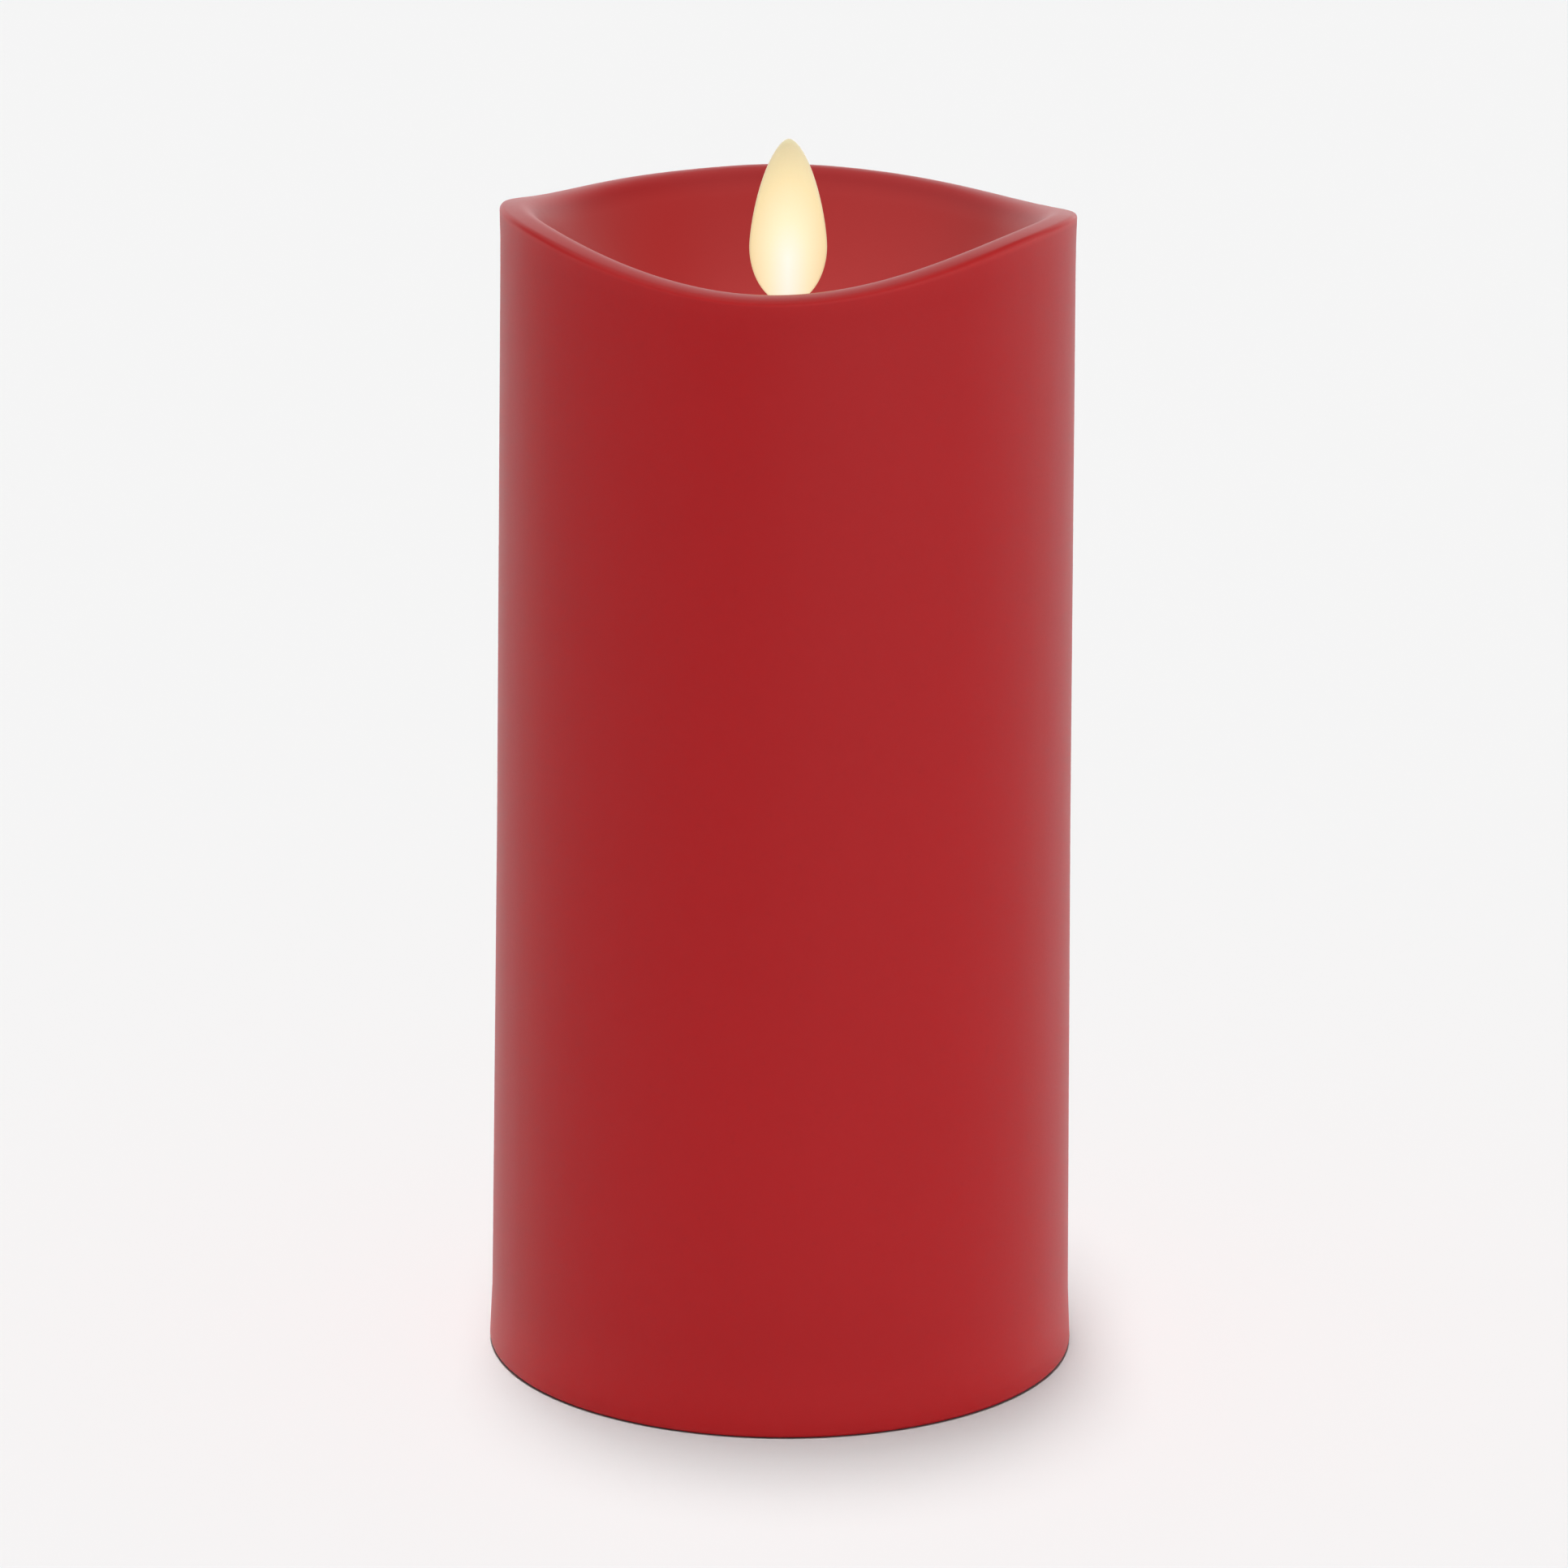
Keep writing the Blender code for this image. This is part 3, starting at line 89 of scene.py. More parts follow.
def make_camera():
    camera = bpy.data.objects.new("camera", bpy.data.cameras.new("camera"))
    bpy.context.scene.collection.objects.link(camera)
    camera.data.lens = LENS_MM
    camera.data.sensor_width = SENSOR_MM
    camera.data.clip_start = NEAREST
    camera.data.clip_end = FURTHEST
    aim = (LOOK_AT - EYE).to_track_quat("-Z", "Y").to_matrix().to_4x4()
    lean = Matrix.Rotation(math.radians(LEAN_DEGREES), 4, "Z")
    camera.matrix_world = Matrix.Translation(EYE) @ aim @ lean
    bpy.context.scene.camera = camera


make_camera()
print(f"camera: {(LOOK_AT - EYE).length:.2f} m from its target")

# %% [markdown]
# ## Studio
# The stage is a plain pale floor under an even white sky.  Two groups of lights share the work.  A
# strip of narrow suns overhead lights the floor alone, so that the shadow hugs the candle's foot.  The
# candle has its own soft boxes: two on the right that draw a sheen down that side, a fill on the
# left, a ceiling, and a white wall behind for the lip to reflect.  Light linking keeps the groups
# apart, as flags do in a real studio.  A pale wall far away closes the view from low down.
#
# Red wax throws red light on a white floor.  The floor's paint is a little green-blue and its suns a
# little warm.  The two cancel to a plain pale floor, and the paint soaks up most of the wax's tint.

# %% Floor, sky and lights
SKY = 0.15
FLOOR_SUN = 4.78
FLOOR_PAINT = (0.55, 0.90, 0.90)
FLOOR_SUN_COLOUR = (1.0, 0.573, 0.573)
FLOOR_SUN_TILTS = (-8.0, -4.0, 0.0, 2.5, 5.5, 9.0)
FLOOR_SUN_WIDTH = math.radians(7.5)
FLOOR_HALF = 8.0
WALL_RADIUS, WALL_HEIGHT = 7.9, 12.0
WALL_GLOW = (0.913, 0.913, 0.913)
CANDLE_MIDDLE = (0, 0, 0.09)
CANDLE_LIGHTS = (                  # name, place, watts, width and height
    ("front_box", (0.7, -1.05, 0.25), 6.2, 1.8, 1.0),
    ("side_box", (1.15, 0.2, 0.25), 2.8, 1.0, 1.0),
    ("left_fill", (-1.35, -0.6, 0.5), 1.4, 1.2, 1.0),
    ("ceiling", (-0.35, -0.1, 1.7), 16.0, 2.6, 2.6),
    ("back_wall", (0.0, 1.8, 0.8), 16.0, 3.4, 1.6),
)


def matt_look(name, **constants):
    """A material without a highlight, for what stands round the candle."""
    look = bpy.data.materials.new(name)
    look.use_nodes = True
    shader = look.node_tree.nodes["Principled BSDF"]
    shader.inputs["Specular IOR Level"].default_value = 0.0
    for socket, value in constants.items():
        shader.inputs[socket.replace("_", " ")].default_value = value
    return look


def make_floor():
    half = FLOOR_HALF
    mesh = bpy.data.meshes.new("floor")
    mesh.from_pydata([(-half, -half, 0), (half, -half, 0), (half, half, 0), (-half, half, 0)], [],
                     [(0, 1, 2, 3)])
    mesh.materials.append(matt_look("pale_floor", Base_Color=(*FLOOR_PAINT, 1.0), Roughness=0.9))
    floor = bpy.data.objects.new("floor", mesh)
    bpy.context.scene.collection.objects.link(floor)
    return floor


def make_backdrop():
    """A pale wall far behind everything, seen by the camera alone, for low views."""
    bm = bmesh.new()
    bmesh.ops.create_cone(bm, segments=64, radius1=WALL_RADIUS, radius2=WALL_RADIUS,
                          depth=WALL_HEIGHT, cap_ends=False)
    mesh = bpy.data.meshes.new("backdrop")
    bm.to_mesh(mesh)
    bm.free()
    mesh.materials.append(matt_look("backdrop", Base_Color=(0.0, 0.0, 0.0, 1.0),
                                    Emission_Color=(*WALL_GLOW, 1.0), Emission_Strength=1.0))
    backdrop = bpy.data.objects.new("backdrop", mesh)
    bpy.context.scene.collection.objects.link(backdrop)
    backdrop.visible_diffuse = False
    backdrop.visible_glossy = False
    backdrop.visible_transmission = False
    backdrop.visible_shadow = False


def make_light(name, kind, place, target, energy, for_floor=False, **settings):
    """A light that reaches either the floor alone or everything but the floor."""
    lamp = bpy.data.lights.new(name, kind)
    lamp.energy = energy
    for key, value in settings.items():
        setattr(lamp, key, value)
    thing = bpy.data.objects.new(name, lamp)
    bpy.context.scene.collection.objects.link(thing)
    thing.location = place
    thing.rotation_mode = "QUATERNION"
    thing.rotation_quaternion = (Vector(target) - Vector(place)).to_track_quat("-Z", "Y")
    thing.visible_camera = False
    reach = bpy.data.collections.new(f"{name}_reach")
    reach.objects.link(floor)
    reach.collection_objects[0].light_linking.link_state = "INCLUDE" if for_floor else "EXCLUDE"
    thing.light_linking.receiver_collection = reach
    return thing


floor = make_floor()
make_backdrop()
world = bpy.data.worlds.new("sky")
bpy.context.scene.world = world
world.use_nodes = True
sky = world.node_tree.nodes["Background"]
sky.inputs["Color"].default_value = (1.0, 1.0, 1.0, 1.0)
sky.inputs["Strength"].default_value = SKY
for number, tilt in enumerate(FLOOR_SUN_TILTS, 1):
    make_light(f"floor_sun_{number}", "SUN", (-0.02, math.tan(math.radians(tilt)), 1.0), (0, 0, 0),
               FLOOR_SUN / len(FLOOR_SUN_TILTS), True, angle=FLOOR_SUN_WIDTH, color=FLOOR_SUN_COLOUR)
for name, place, watts, width, height in CANDLE_LIGHTS:
    make_light(name, "AREA", place, CANDLE_MIDDLE, watts, shape="RECTANGLE", size=width, size_y=height)
bpy.context.scene.view_settings.view_transform = "Standard"
print(f"studio: floor, sky and {len(FLOOR_SUN_TILTS) + len(CANDLE_LIGHTS)} lights")

# %% [markdown]
# ## Writing a material as arithmetic
# A procedural finish is mostly sums: a noise times a strength plus a base.  Writing each sum as a
# node by hand hides it, so two small classes turn Python expressions into nodes.  `Value` wraps one
# socket and overloads the operators.  `Finish` holds a material, and its `add` makes any node.


# %% Value and Finish
def tone(red, green, blue):
    """A colour from display values of 0 to 255, in the linear units that shaders use."""
    parts = [v / 255.0 for v in (red, green, blue)]
    return tuple(v / 12.92 if v <= 0.04045 else ((v + 0.055) / 1.055) ** 2.4 for v in parts)


class Value:
    """A number that varies over a surface."""

    def __init__(self, finish, socket):
        self.finish = finish
        self.socket = socket

    def math(self, operation, *terms, clamp=False):
        return self.finish.add("ShaderNodeMath", {"operation": operation, "use_clamp": clamp},
                               dict(enumerate(terms)))

    def __add__(self, other):
        return self.math("ADD", self, other)

    def __sub__(self, other):
        return self.math("SUBTRACT", self, other)

    def __mul__(self, other):
        return self.math("MULTIPLY", self, other)

    def __truediv__(self, other):
        return self.math("DIVIDE", self, other)

    def __pow__(self, other):
        return self.math("POWER", self, other)

    def __rsub__(self, other):
        return self.math("SUBTRACT", other, self)

    def __rtruediv__(self, other):
        return self.math("DIVIDE", other, self)

    __radd__ = __add__
    __rmul__ = __mul__

    def limited(self):
        """The value held between 0 and 1."""
        return self.math("ADD", self, 0.0, clamp=True)

    def rise(self, start, end):
        """0 below start, 1 above end, and a smooth step between them."""
        return self.finish.add("ShaderNodeMapRange", {"interpolation_type": "SMOOTHSTEP"},
                               {"Value": self, "From Min": start, "From Max": end}, "Result")

    def size(self):
        """The value without its sign."""
        return self.math("ABSOLUTE", self)


class Finish:
    """A Principled material whose constants are set on its sockets and whose pattern is built by add."""

    def __init__(self, name, **constants):
        self.material = bpy.data.materials.new(name)
        self.material.use_nodes = True
        self.nodes = self.material.node_tree.nodes
        self.links = self.material.node_tree.links
        self.shader = self.nodes["Principled BSDF"]
        for socket, value in constants.items():
            self.feed(self.shader.inputs[socket.replace("_", " ")], value)

    def feed(self, socket, value):
        if isinstance(value, Value):
            self.links.new(value.socket, socket)
        elif isinstance(value, tuple) and socket.type == "RGBA":
            socket.default_value = (*value, 1.0)
        else:
            socket.default_value = value

    def add(self, kind, settings=None, sockets=None, output=0):
        """Make a node: its settings come first, then the values or links of its sockets."""
        node = self.nodes.new(kind)
        for key, value in (settings or {}).items():
            if key == "stops":
                self.set_stops(node.color_ramp, value)
            else:
                setattr(node, key, value)
        for key, value in (sockets or {}).items():
            self.feed(node.inputs[key], value)
        return Value(self, node.outputs[output])

    @staticmethod
    def set_stops(ramp, stops):
        while len(ramp.elements) < len(stops):
            ramp.elements.new(1.0)
        for element, (place, colour) in zip(ramp.elements, stops):
            element.position = place
            element.color = (*colour, 1.0)

    def place(self):
        """The point on the piece at rest, which moves with the piece."""
        return self.add("ShaderNodeTexCoord", output="Object")

    def along(self, axis):
        """One coordinate of that point, in metres."""
        return self.add("ShaderNodeSeparateXYZ", None, {0: self.place()}, axis)

    def noise(self, size, detail=3.0, roughness=0.5, stretch=(1.0, 1.0, 1.0)):
        """Cloudy noise from 0 to 1 whose blobs are about size metres across."""
        scaled = self.add("ShaderNodeVectorMath", {"operation": "MULTIPLY"}, {0: self.place(), 1: stretch})
        return self.add("ShaderNodeTexNoise", None, {"Vector": scaled, "Scale": 1.0 / size, "Detail": detail,
                                                     "Roughness": roughness})

    def mix(self, share, first, second):
        """Blend two colours."""
        return self.add("ShaderNodeMix", {"data_type": "RGBA"}, {0: share, 6: first, 7: second}, 2)

    def colour(self, value):
        self.feed(self.shader.inputs["Base Color"], value)

    def bump(self, height, depth, strength=1.0):
        """Raise the surface by height times depth metres."""
        bumped = self.add("ShaderNodeBump", None, {"Height": height, "Distance": depth, "Strength": strength})
        self.feed(self.shader.inputs["Normal"], bumped)


print("material tools ready")

# %% [markdown]
# ## Shaping tools
# Most parts of a candle's works are turned, cut from a block, or bent from wire.  Three small mesh
# makers cover those.  Booleans cut the slots and recesses, as a moulding tool would, and a bevel
# rounds the new edges, because no moulded or stamped edge is perfectly sharp.


# %% Turned, blocked, bent and carved meshes
CORNER = 35.0                      # degrees: an edge that turns by more stays crisp
SOFT_CORNER = 50.0


def arc(centre_r, centre_z, radius, first, last, steps):
    """Points of a round corner, with angles in degrees from the outward direction."""
    turns = [math.radians(first + (last - first) * step / steps) for step in range(steps + 1)]
    return [(centre_r + radius * math.cos(t), centre_z + radius * math.sin(t)) for t in turns]


def finished(bm, name, sharp=CORNER):
    """A mesh from a bmesh, welded, facing outwards, smooth except at its corners."""
    bmesh.ops.remove_doubles(bm, verts=bm.verts, dist=1e-7)
    bmesh.ops.recalc_face_normals(bm, faces=bm.faces)
    mesh = bpy.data.meshes.new(name)
    bm.to_mesh(mesh)
    bm.free()
    mesh.shade_smooth()
    mesh.set_sharp_from_angle(angle=math.radians(sharp))
    return mesh


def skin(bm, rings):
    """Join each ring of points to the next with faces."""
    for lower, upper in zip(rings, rings[1:]):
        for index in range(len(lower)):
            after = (index + 1) % len(lower)
            bm.faces.new((lower[index], lower[after], upper[after], upper[index]))


def turned(name, outline, segments=64, sharp=CORNER):
    """Spin an outline of (radius, height) points; it closes on itself unless it starts on the axis."""
    bm = bmesh.new()
    verts = [bm.verts.new((radius, 0.0, height)) for radius, height in outline]
    edges = [bm.edges.new(pair) for pair in zip(verts, verts[1:])]
    if outline[0][0] > 0.0:
        edges.append(bm.edges.new((verts[-1], verts[0])))
    bmesh.ops.spin(bm, geom=verts + edges, cent=(0, 0, 0), axis=(0, 0, 1),
                   angle=math.tau, steps=segments, use_merge=True)
    return finished(bm, name, sharp)


def block(name, low, high, edge=0.0, steps=3):
    """A box between two corners with round edges."""
    bm = bmesh.new()
    bmesh.ops.create_cube(bm, size=1.0)
    low, high = Vector(low), Vector(high)
    bmesh.ops.scale(bm, vec=high - low, verts=bm.verts)
    bmesh.ops.translate(bm, vec=(low + high) / 2, verts=bm.verts)
    if edge:
        bmesh.ops.bevel(bm, geom=list(bm.edges), offset=edge, segments=steps, profile=0.5, affect="EDGES")
    return finished(bm, name, SOFT_CORNER)


def smooth_route(points, steps):
    """A Catmull-Rom curve through given points."""
    points = [Vector(point) for point in points]
    padded = [points[0] * 2 - points[1], *points, points[-1] * 2 - points[-2]]
    route = []
    for a, b, c, d in zip(padded, padded[1:], padded[2:], padded[3:]):
        for step in range(steps):
            t = step / steps
            route.append(0.5 * (2 * b + (c - a) * t + (2 * a - 5 * b + 4 * c - d) * t ** 2
                                + (3 * b - a - 3 * c + d) * t ** 3))
    return route + [points[-1]]


def bent_wire(name, route, radius, sides=12):
    """A round wire swept along a route, each ring turned from the last so that it never twists."""
    route = [Vector(point) for point in route]
    bm = bmesh.new()
    rings = []
    across = None
    for index, point in enumerate(route):
        along = (route[min(index + 1, len(route) - 1)] - route[max(index - 1, 0)]).normalized()
        across = along.orthogonal() if across is None else across - along * across.dot(along)
        across.normalize()
        other = along.cross(across)
        turns = [math.tau * side / sides for side in range(sides)]
        ring = [point + (across * math.cos(t) + other * math.sin(t)) * radius for t in turns]
        rings.append([bm.verts.new(place) for place in ring])
    skin(bm, rings)
    bm.faces.new(rings[0])
    bm.faces.new(rings[-1])
    return finished(bm, name, SOFT_CORNER)


def pin(name, start, end, radius, segments=32):
    """A round bar between two points, for cutting holes."""
    start, along = Vector(start), Vector(end) - Vector(start)
    mesh = turned(name, [(0.0, 0.0), (radius, 0.0), (radius, along.length), (0.0, along.length)], segments)
    turn = Vector((0, 0, 1)).rotation_difference(along).to_matrix().to_4x4()
    mesh.transform(Matrix.Translation(start) @ turn)
    return mesh


def carved(mesh, cutters, edge=0.0):
    """Cut meshes out of a mesh, then round the edges that are left."""
    blank = bpy.data.objects.new("blank", mesh)
    things = [blank] + [bpy.data.objects.new("cutter", cutter) for cutter in cutters]
    for thing in things:
        bpy.context.scene.collection.objects.link(thing)
    for tool in things[1:]:
        cut = blank.modifiers.new("cut", "BOOLEAN")
        cut.operation = "DIFFERENCE"
        cut.solver = "EXACT"
        cut.object = tool
    if edge:
        add_bevel(blank, edge)
    graph = bpy.context.evaluated_depsgraph_get()
    result = bpy.data.meshes.new_from_object(blank.evaluated_get(graph))
    for thing in things:
        bpy.data.objects.remove(thing)
    result.set_sharp_from_angle(angle=math.radians(CORNER))
    return result


def add_bevel(thing, width):
    bevel = thing.modifiers.new("edge", "BEVEL")
    bevel.width = width
    bevel.segments = 2
    bevel.limit_method = "ANGLE"
    bevel.angle_limit = math.radians(CORNER)
    bevel.use_clamp_overlap = True


def joined(name, *meshes):
    """One mesh that holds several, for a part whose solids touch."""
    bm = bmesh.new()
    for mesh in meshes:
        bm.from_mesh(mesh)
    mesh = bpy.data.meshes.new(name)
    bm.to_mesh(mesh)
    bm.free()
    return mesh


def piece(name, mesh, body, slot, look, *nodes):
    """Give a mesh its finish and hang it on its body, in place of the frame's nodes."""
    thing = bpy.data.objects.new(name, mesh)
    bpy.context.scene.collection.objects.link(thing)
    mesh.materials.clear()
    mesh.materials.append(look)
    if nodes:
        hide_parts(*nodes)
    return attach(thing, body)


print("shaping tools ready")

# %% [markdown]
# ## Wax
# Dyed paraffin is a saturated red with a satin skin.  It is never quite even: the dye clouds a
# little, and the skin has a faint orange peel from the mould.  Light is painted into the colour too:
# a painted highlight brightens the lip, painted shade darkens the top, painted floor light brightens
# the foot, and a painted sheen makes the bowl paler and pinker, most of all at its sides.  Two
# vertex attributes are written with the mesh: `lip` says how close to the rim a point is, and
# `inside` marks the bowl.


# %% Wax finish
def wax_finish():
    wax = Finish("red_wax", Specular_IOR_Level=0.32, IOR=1.44)
    clouds = wax.noise(28 * MM, 3.0)
    specks = wax.noise(1.1 * MM, 2.0).rise(0.62, 0.75)
    lip = wax.add("ShaderNodeAttribute", {"attribute_name": "lip"}, None, "Fac")
    inside = wax.add("ShaderNodeAttribute", {"attribute_name": "inside"}, None, "Fac")
    height = wax.along("Z").rise(0.0, 0.19)
    body = wax.mix(clouds, tone(180, 11, 18), tone(187, 14, 22))
    # Painted shade: the body is painted darker towards the top.
    body = wax.mix(height * 0.6, body, tone(174, 10, 16))
    body = wax.mix(specks * 0.10, body, tone(150, 9, 15))
    # Painted reflection: the bowl is painted paler towards its left and right sides.
    sides = wax.along("X").size().rise(18 * MM, 42 * MM)
    # Painted floor light: the body is painted brighter near the foot.
    foot = 1.0 - wax.along("Z").rise(0.0, 16 * MM)
    body = wax.mix(foot * 0.6, body, tone(202, 26, 30))
    # Painted sheen: the bowl is painted paler and pinker than the outside of the shell.
    bowl = wax.mix(sides, tone(204, 58, 58), tone(192, 70, 69))
    body = wax.mix(inside, body, bowl)
    # Painted highlight: the lip is painted a brighter red.
    wax.colour(wax.mix(lip * 0.8, body, tone(208, 46, 46)))
    grain = wax.noise(0.55 * MM, 2.0)
    waves = wax.noise(14 * MM, 2.0, stretch=(1.0, 1.0, 0.35))
    wax.feed(wax.shader.inputs["Roughness"], 0.37 + clouds * 0.05 + grain * 0.04 - lip * 0.05)
    wax.bump(grain * 0.05 + waves, 0.12 * MM)
    return wax.material


wax_look = wax_finish()
print("wax: clouds, specks, orange peel, a brighter lip and a duller bowl")

# %% [markdown]
# ## The wax shell
# The frame's shell is a coarse turned shape.  The fine one here is turned from the same outline: its
# outer wall and the height of its rim are measured on the frame, and its lip is rounded again with
# many more points.  A turned mesh is the honest way to make a moulded pillar, and its rim is then
# lifted and dipped round the edge as the frame's is, with a little more sag at the front.

# %% Measure the frame's shell
RIM_WAVE_COUNT = 10
LIP_CREST = 2.6 * MM
LIP_OUTER_ROUND = 0.7 * MM
BOWL_SHOULDER = 5.0 * MM
LIP_TILT = math.radians(4.0)
LIP_DROOP = 0.85 * MM
FRONT_LIP_DROOP = 0.45 * MM
FRONT_SAG = 0.40 * MM
LIP_FLARE = 0.14 * MM
FLARE_HEIGHT = 6.0 * MM
FOOT_ROUND = 0.8 * MM
BOWL_STEEPNESS = 2.7
LIP_FADE = 1.6 * MM


def cad_points(node):
    return np.array([v.co[:] for v in frame["nodes"][node].data.vertices])


def rim_heights(points):
    """Height of the rim at each angle of the frame's mesh, as a short sum of waves."""
    angles = np.round(np.degrees(np.arctan2(points[:, 1], points[:, 0])), 1) % 360.0
    steps = sorted(set(angles))
    tops = np.array([points[angles == step, 2].max() for step in steps])
    waves = [np.ones_like(steps)]
    for count in range(1, RIM_WAVE_COUNT + 1):
        waves += [np.cos(count * np.radians(steps)), np.sin(count * np.radians(steps))]
    return np.linalg.lstsq(np.array(waves).T, tops, rcond=None)[0]


def outer_wall(points):
    """Radius against height down the outside, below the rim's rounding."""
    radii = np.hypot(points[:, 0], points[:, 1])
    pairs = {(round(z, 5), round(r, 5)) for r, z in zip(radii, points[:, 2]) if r > 0.042 and z < 0.17}
    return np.array(sorted(pairs)).T


shell_points = cad_points("wax_shell")
rim_terms = rim_heights(shell_points)
wall_z, wall_r = outer_wall(shell_points)
RIM_Z = rim_terms[0]
lip_points = shell_points[shell_points[:, 2] > RIM_Z - 5 * MM]
LIP_RADIUS = np.hypot(lip_points[:, 0], lip_points[:, 1]).max()
COLLAR_LOW, COLLAR_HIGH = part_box("flame_collar")
HOLE_RADIUS = COLLAR_HIGH.x + 0.3 * MM
BOWL_FLOOR = COLLAR_HIGH.z + 0.4 * MM
print(f"rim: mean {RIM_Z * 1000:.1f} mm, lip radius {LIP_RADIUS * 1000:.2f} mm")
print(f"outer wall points: {len(wall_z)}, from {wall_r.max() * 1000:.2f} to {wall_r.min() * 1000:.2f} mm")


# %% Turn the fine shell
def rim_wave(angle):
    """Height of the rim above its mean; the front sags by a little more than the frame's."""
    total = 0.0
    for count in range(1, RIM_WAVE_COUNT + 1):
        cosine, sine = rim_terms[2 * count - 1:2 * count + 1]
        total += cosine * math.cos(count * angle) + sine * math.sin(count * angle)
    return total - FRONT_SAG * max(-math.sin(angle), 0.0) ** 4


def lip_droop(angle, radius):
    """How far the lip sags towards its outer edge: most at the front and the back."""
    share = min(max((radius - LIP_RADIUS + LIP_CREST) / LIP_CREST, 0.0), 1.0)
    most = LIP_DROOP if math.sin(angle) > 0.0 else FRONT_LIP_DROOP
    return most * math.sin(angle) ** 2 * share ** 2


def lip_outline():
    """The lip from its outer corner, over a low crown, down a soft shoulder into the bowl."""
    tilt = math.degrees(LIP_TILT)
    crest = LIP_RADIUS - LIP_CREST
    edge = LIP_RADIUS - LIP_OUTER_ROUND
    span = edge + LIP_OUTER_ROUND * math.sin(LIP_TILT) - crest
    fall = span * math.tan(LIP_TILT) / 2
    centre_z = RIM_Z - fall - LIP_OUTER_ROUND * math.cos(LIP_TILT)
    points = arc(edge, centre_z, LIP_OUTER_ROUND, 0, 90 - tilt, 8)
    points += [(crest + span * share, RIM_Z - fall * share ** 2) for share in np.linspace(1, 0, 9)[1:]]
    steep = BOWL_STEEPNESS * BOWL_SHOULDER / 2 / (crest - BOWL_SHOULDER - HOLE_RADIUS)
    fall = (RIM_Z - BOWL_FLOOR) * steep / (1 + steep)
    points += [(crest - BOWL_SHOULDER * share, RIM_Z - fall * share ** 2)
               for share in np.linspace(0, 1, 11)[1:]]
    return points


def shell_outline():
    """Radius and height round the section, starting under the foot and going up the outside."""
    foot = wall_r.max()
    lip = lip_outline()
    points = arc(foot - FOOT_ROUND, FOOT_ROUND, FOOT_ROUND, -90, 0, 5)
    top = lip[0][1]
    wall_top = lip[0][0] - LIP_FLARE
    heights = np.append(wall_z, top)
    radii = np.append(wall_r, wall_top)
    for z in np.linspace(2.5 * MM, top - 0.5 * MM, 60):
        flare = max(1.0 - (top - z) / FLARE_HEIGHT, 0.0) ** 2 * LIP_FLARE
        points.append((np.interp(z, heights, radii) + flare, z))
    points += lip
    inner, bowl_top = lip[-1]
    for share in np.linspace(0.0, 1.0, 36)[1:]:
        radius = inner + (HOLE_RADIUS - inner) * share
        points.append((radius, BOWL_FLOOR + (bowl_top - BOWL_FLOOR) * (1.0 - share) ** BOWL_STEEPNESS))
    return points


def wax_shell():
    radii = np.hypot(shell_points[:, 0], shell_points[:, 1])
    cavity_radius = radii[(radii < wall_r.min() - LIP_CREST) & (shell_points[:, 2] < 1e-5)].max()
    roof = COLLAR_LOW.z + 0.2 * MM
    outline = shell_outline()
    outline += [(HOLE_RADIUS, roof), (25 * MM, roof), (cavity_radius, roof - 6 * MM), (cavity_radius, 0.0)]
    mesh = turned("wax_body", outline, 256, 50.0)
    lip = mesh.attributes.new("lip", "FLOAT", "POINT")
    inside = mesh.attributes.new("inside", "FLOAT", "POINT")
    for vert in mesh.vertices:
        angle = math.atan2(vert.co.y, vert.co.x)
        radius = math.hypot(vert.co.x, vert.co.y)
        wave = rim_wave(angle) - lip_droop(angle, radius)
        rise = min(max((vert.co.z - BOWL_FLOOR) / (RIM_Z - BOWL_FLOOR), 0.0), 1.0)
        near = min(max(1.0 - (RIM_Z - vert.co.z) / LIP_FADE, 0.0), 1.0)
        lip.data[vert.index].value = near * near * (3.0 - 2.0 * near)
        depth = min(max((LIP_RADIUS - 4 * MM - radius) / (3 * MM), 0.0), 1.0)
        inside.data[vert.index].value = depth if vert.co.z > BOWL_FLOOR - 1 * MM else 0.0
        vert.co.z += rise ** 2 * wave
    return piece("wax_body", mesh, "candle", "wax", wax_look, "wax_shell")


wax_body = wax_shell()
print(f"wax shell: {len(wax_body.data.polygons)} faces")

# %% [markdown]
# ## Flame
# The flame is one thin moulding of frosted plastic.  The part that shows is a teardrop that is
# thicker along its middle; below it a stem goes down through the collar to the pivot, and a tail
# carries the magnet.  Its section is an ellipse all the way, so it is lofted from rings whose width
# follows the frame's flame.  The lamp below throws its light up the front, which makes a white core
# low in the teardrop and leaves the tip and the edges a warmer, dimmer cream.

# %% Flame finish
TEAR_WIDE_Z = 175.5 * MM
CORE_Z = 173.8 * MM
STEM_Z = 166.0 * MM
STEM_HALF = 2.0 * MM
FLAME_SIDES = 48
PIVOT_Z = next(joint for joint in frame["joints"] if joint["name"] == "flame_swing")["pos_m"][2]
FLAME_LOW, FLAME_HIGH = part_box("flame_blade")


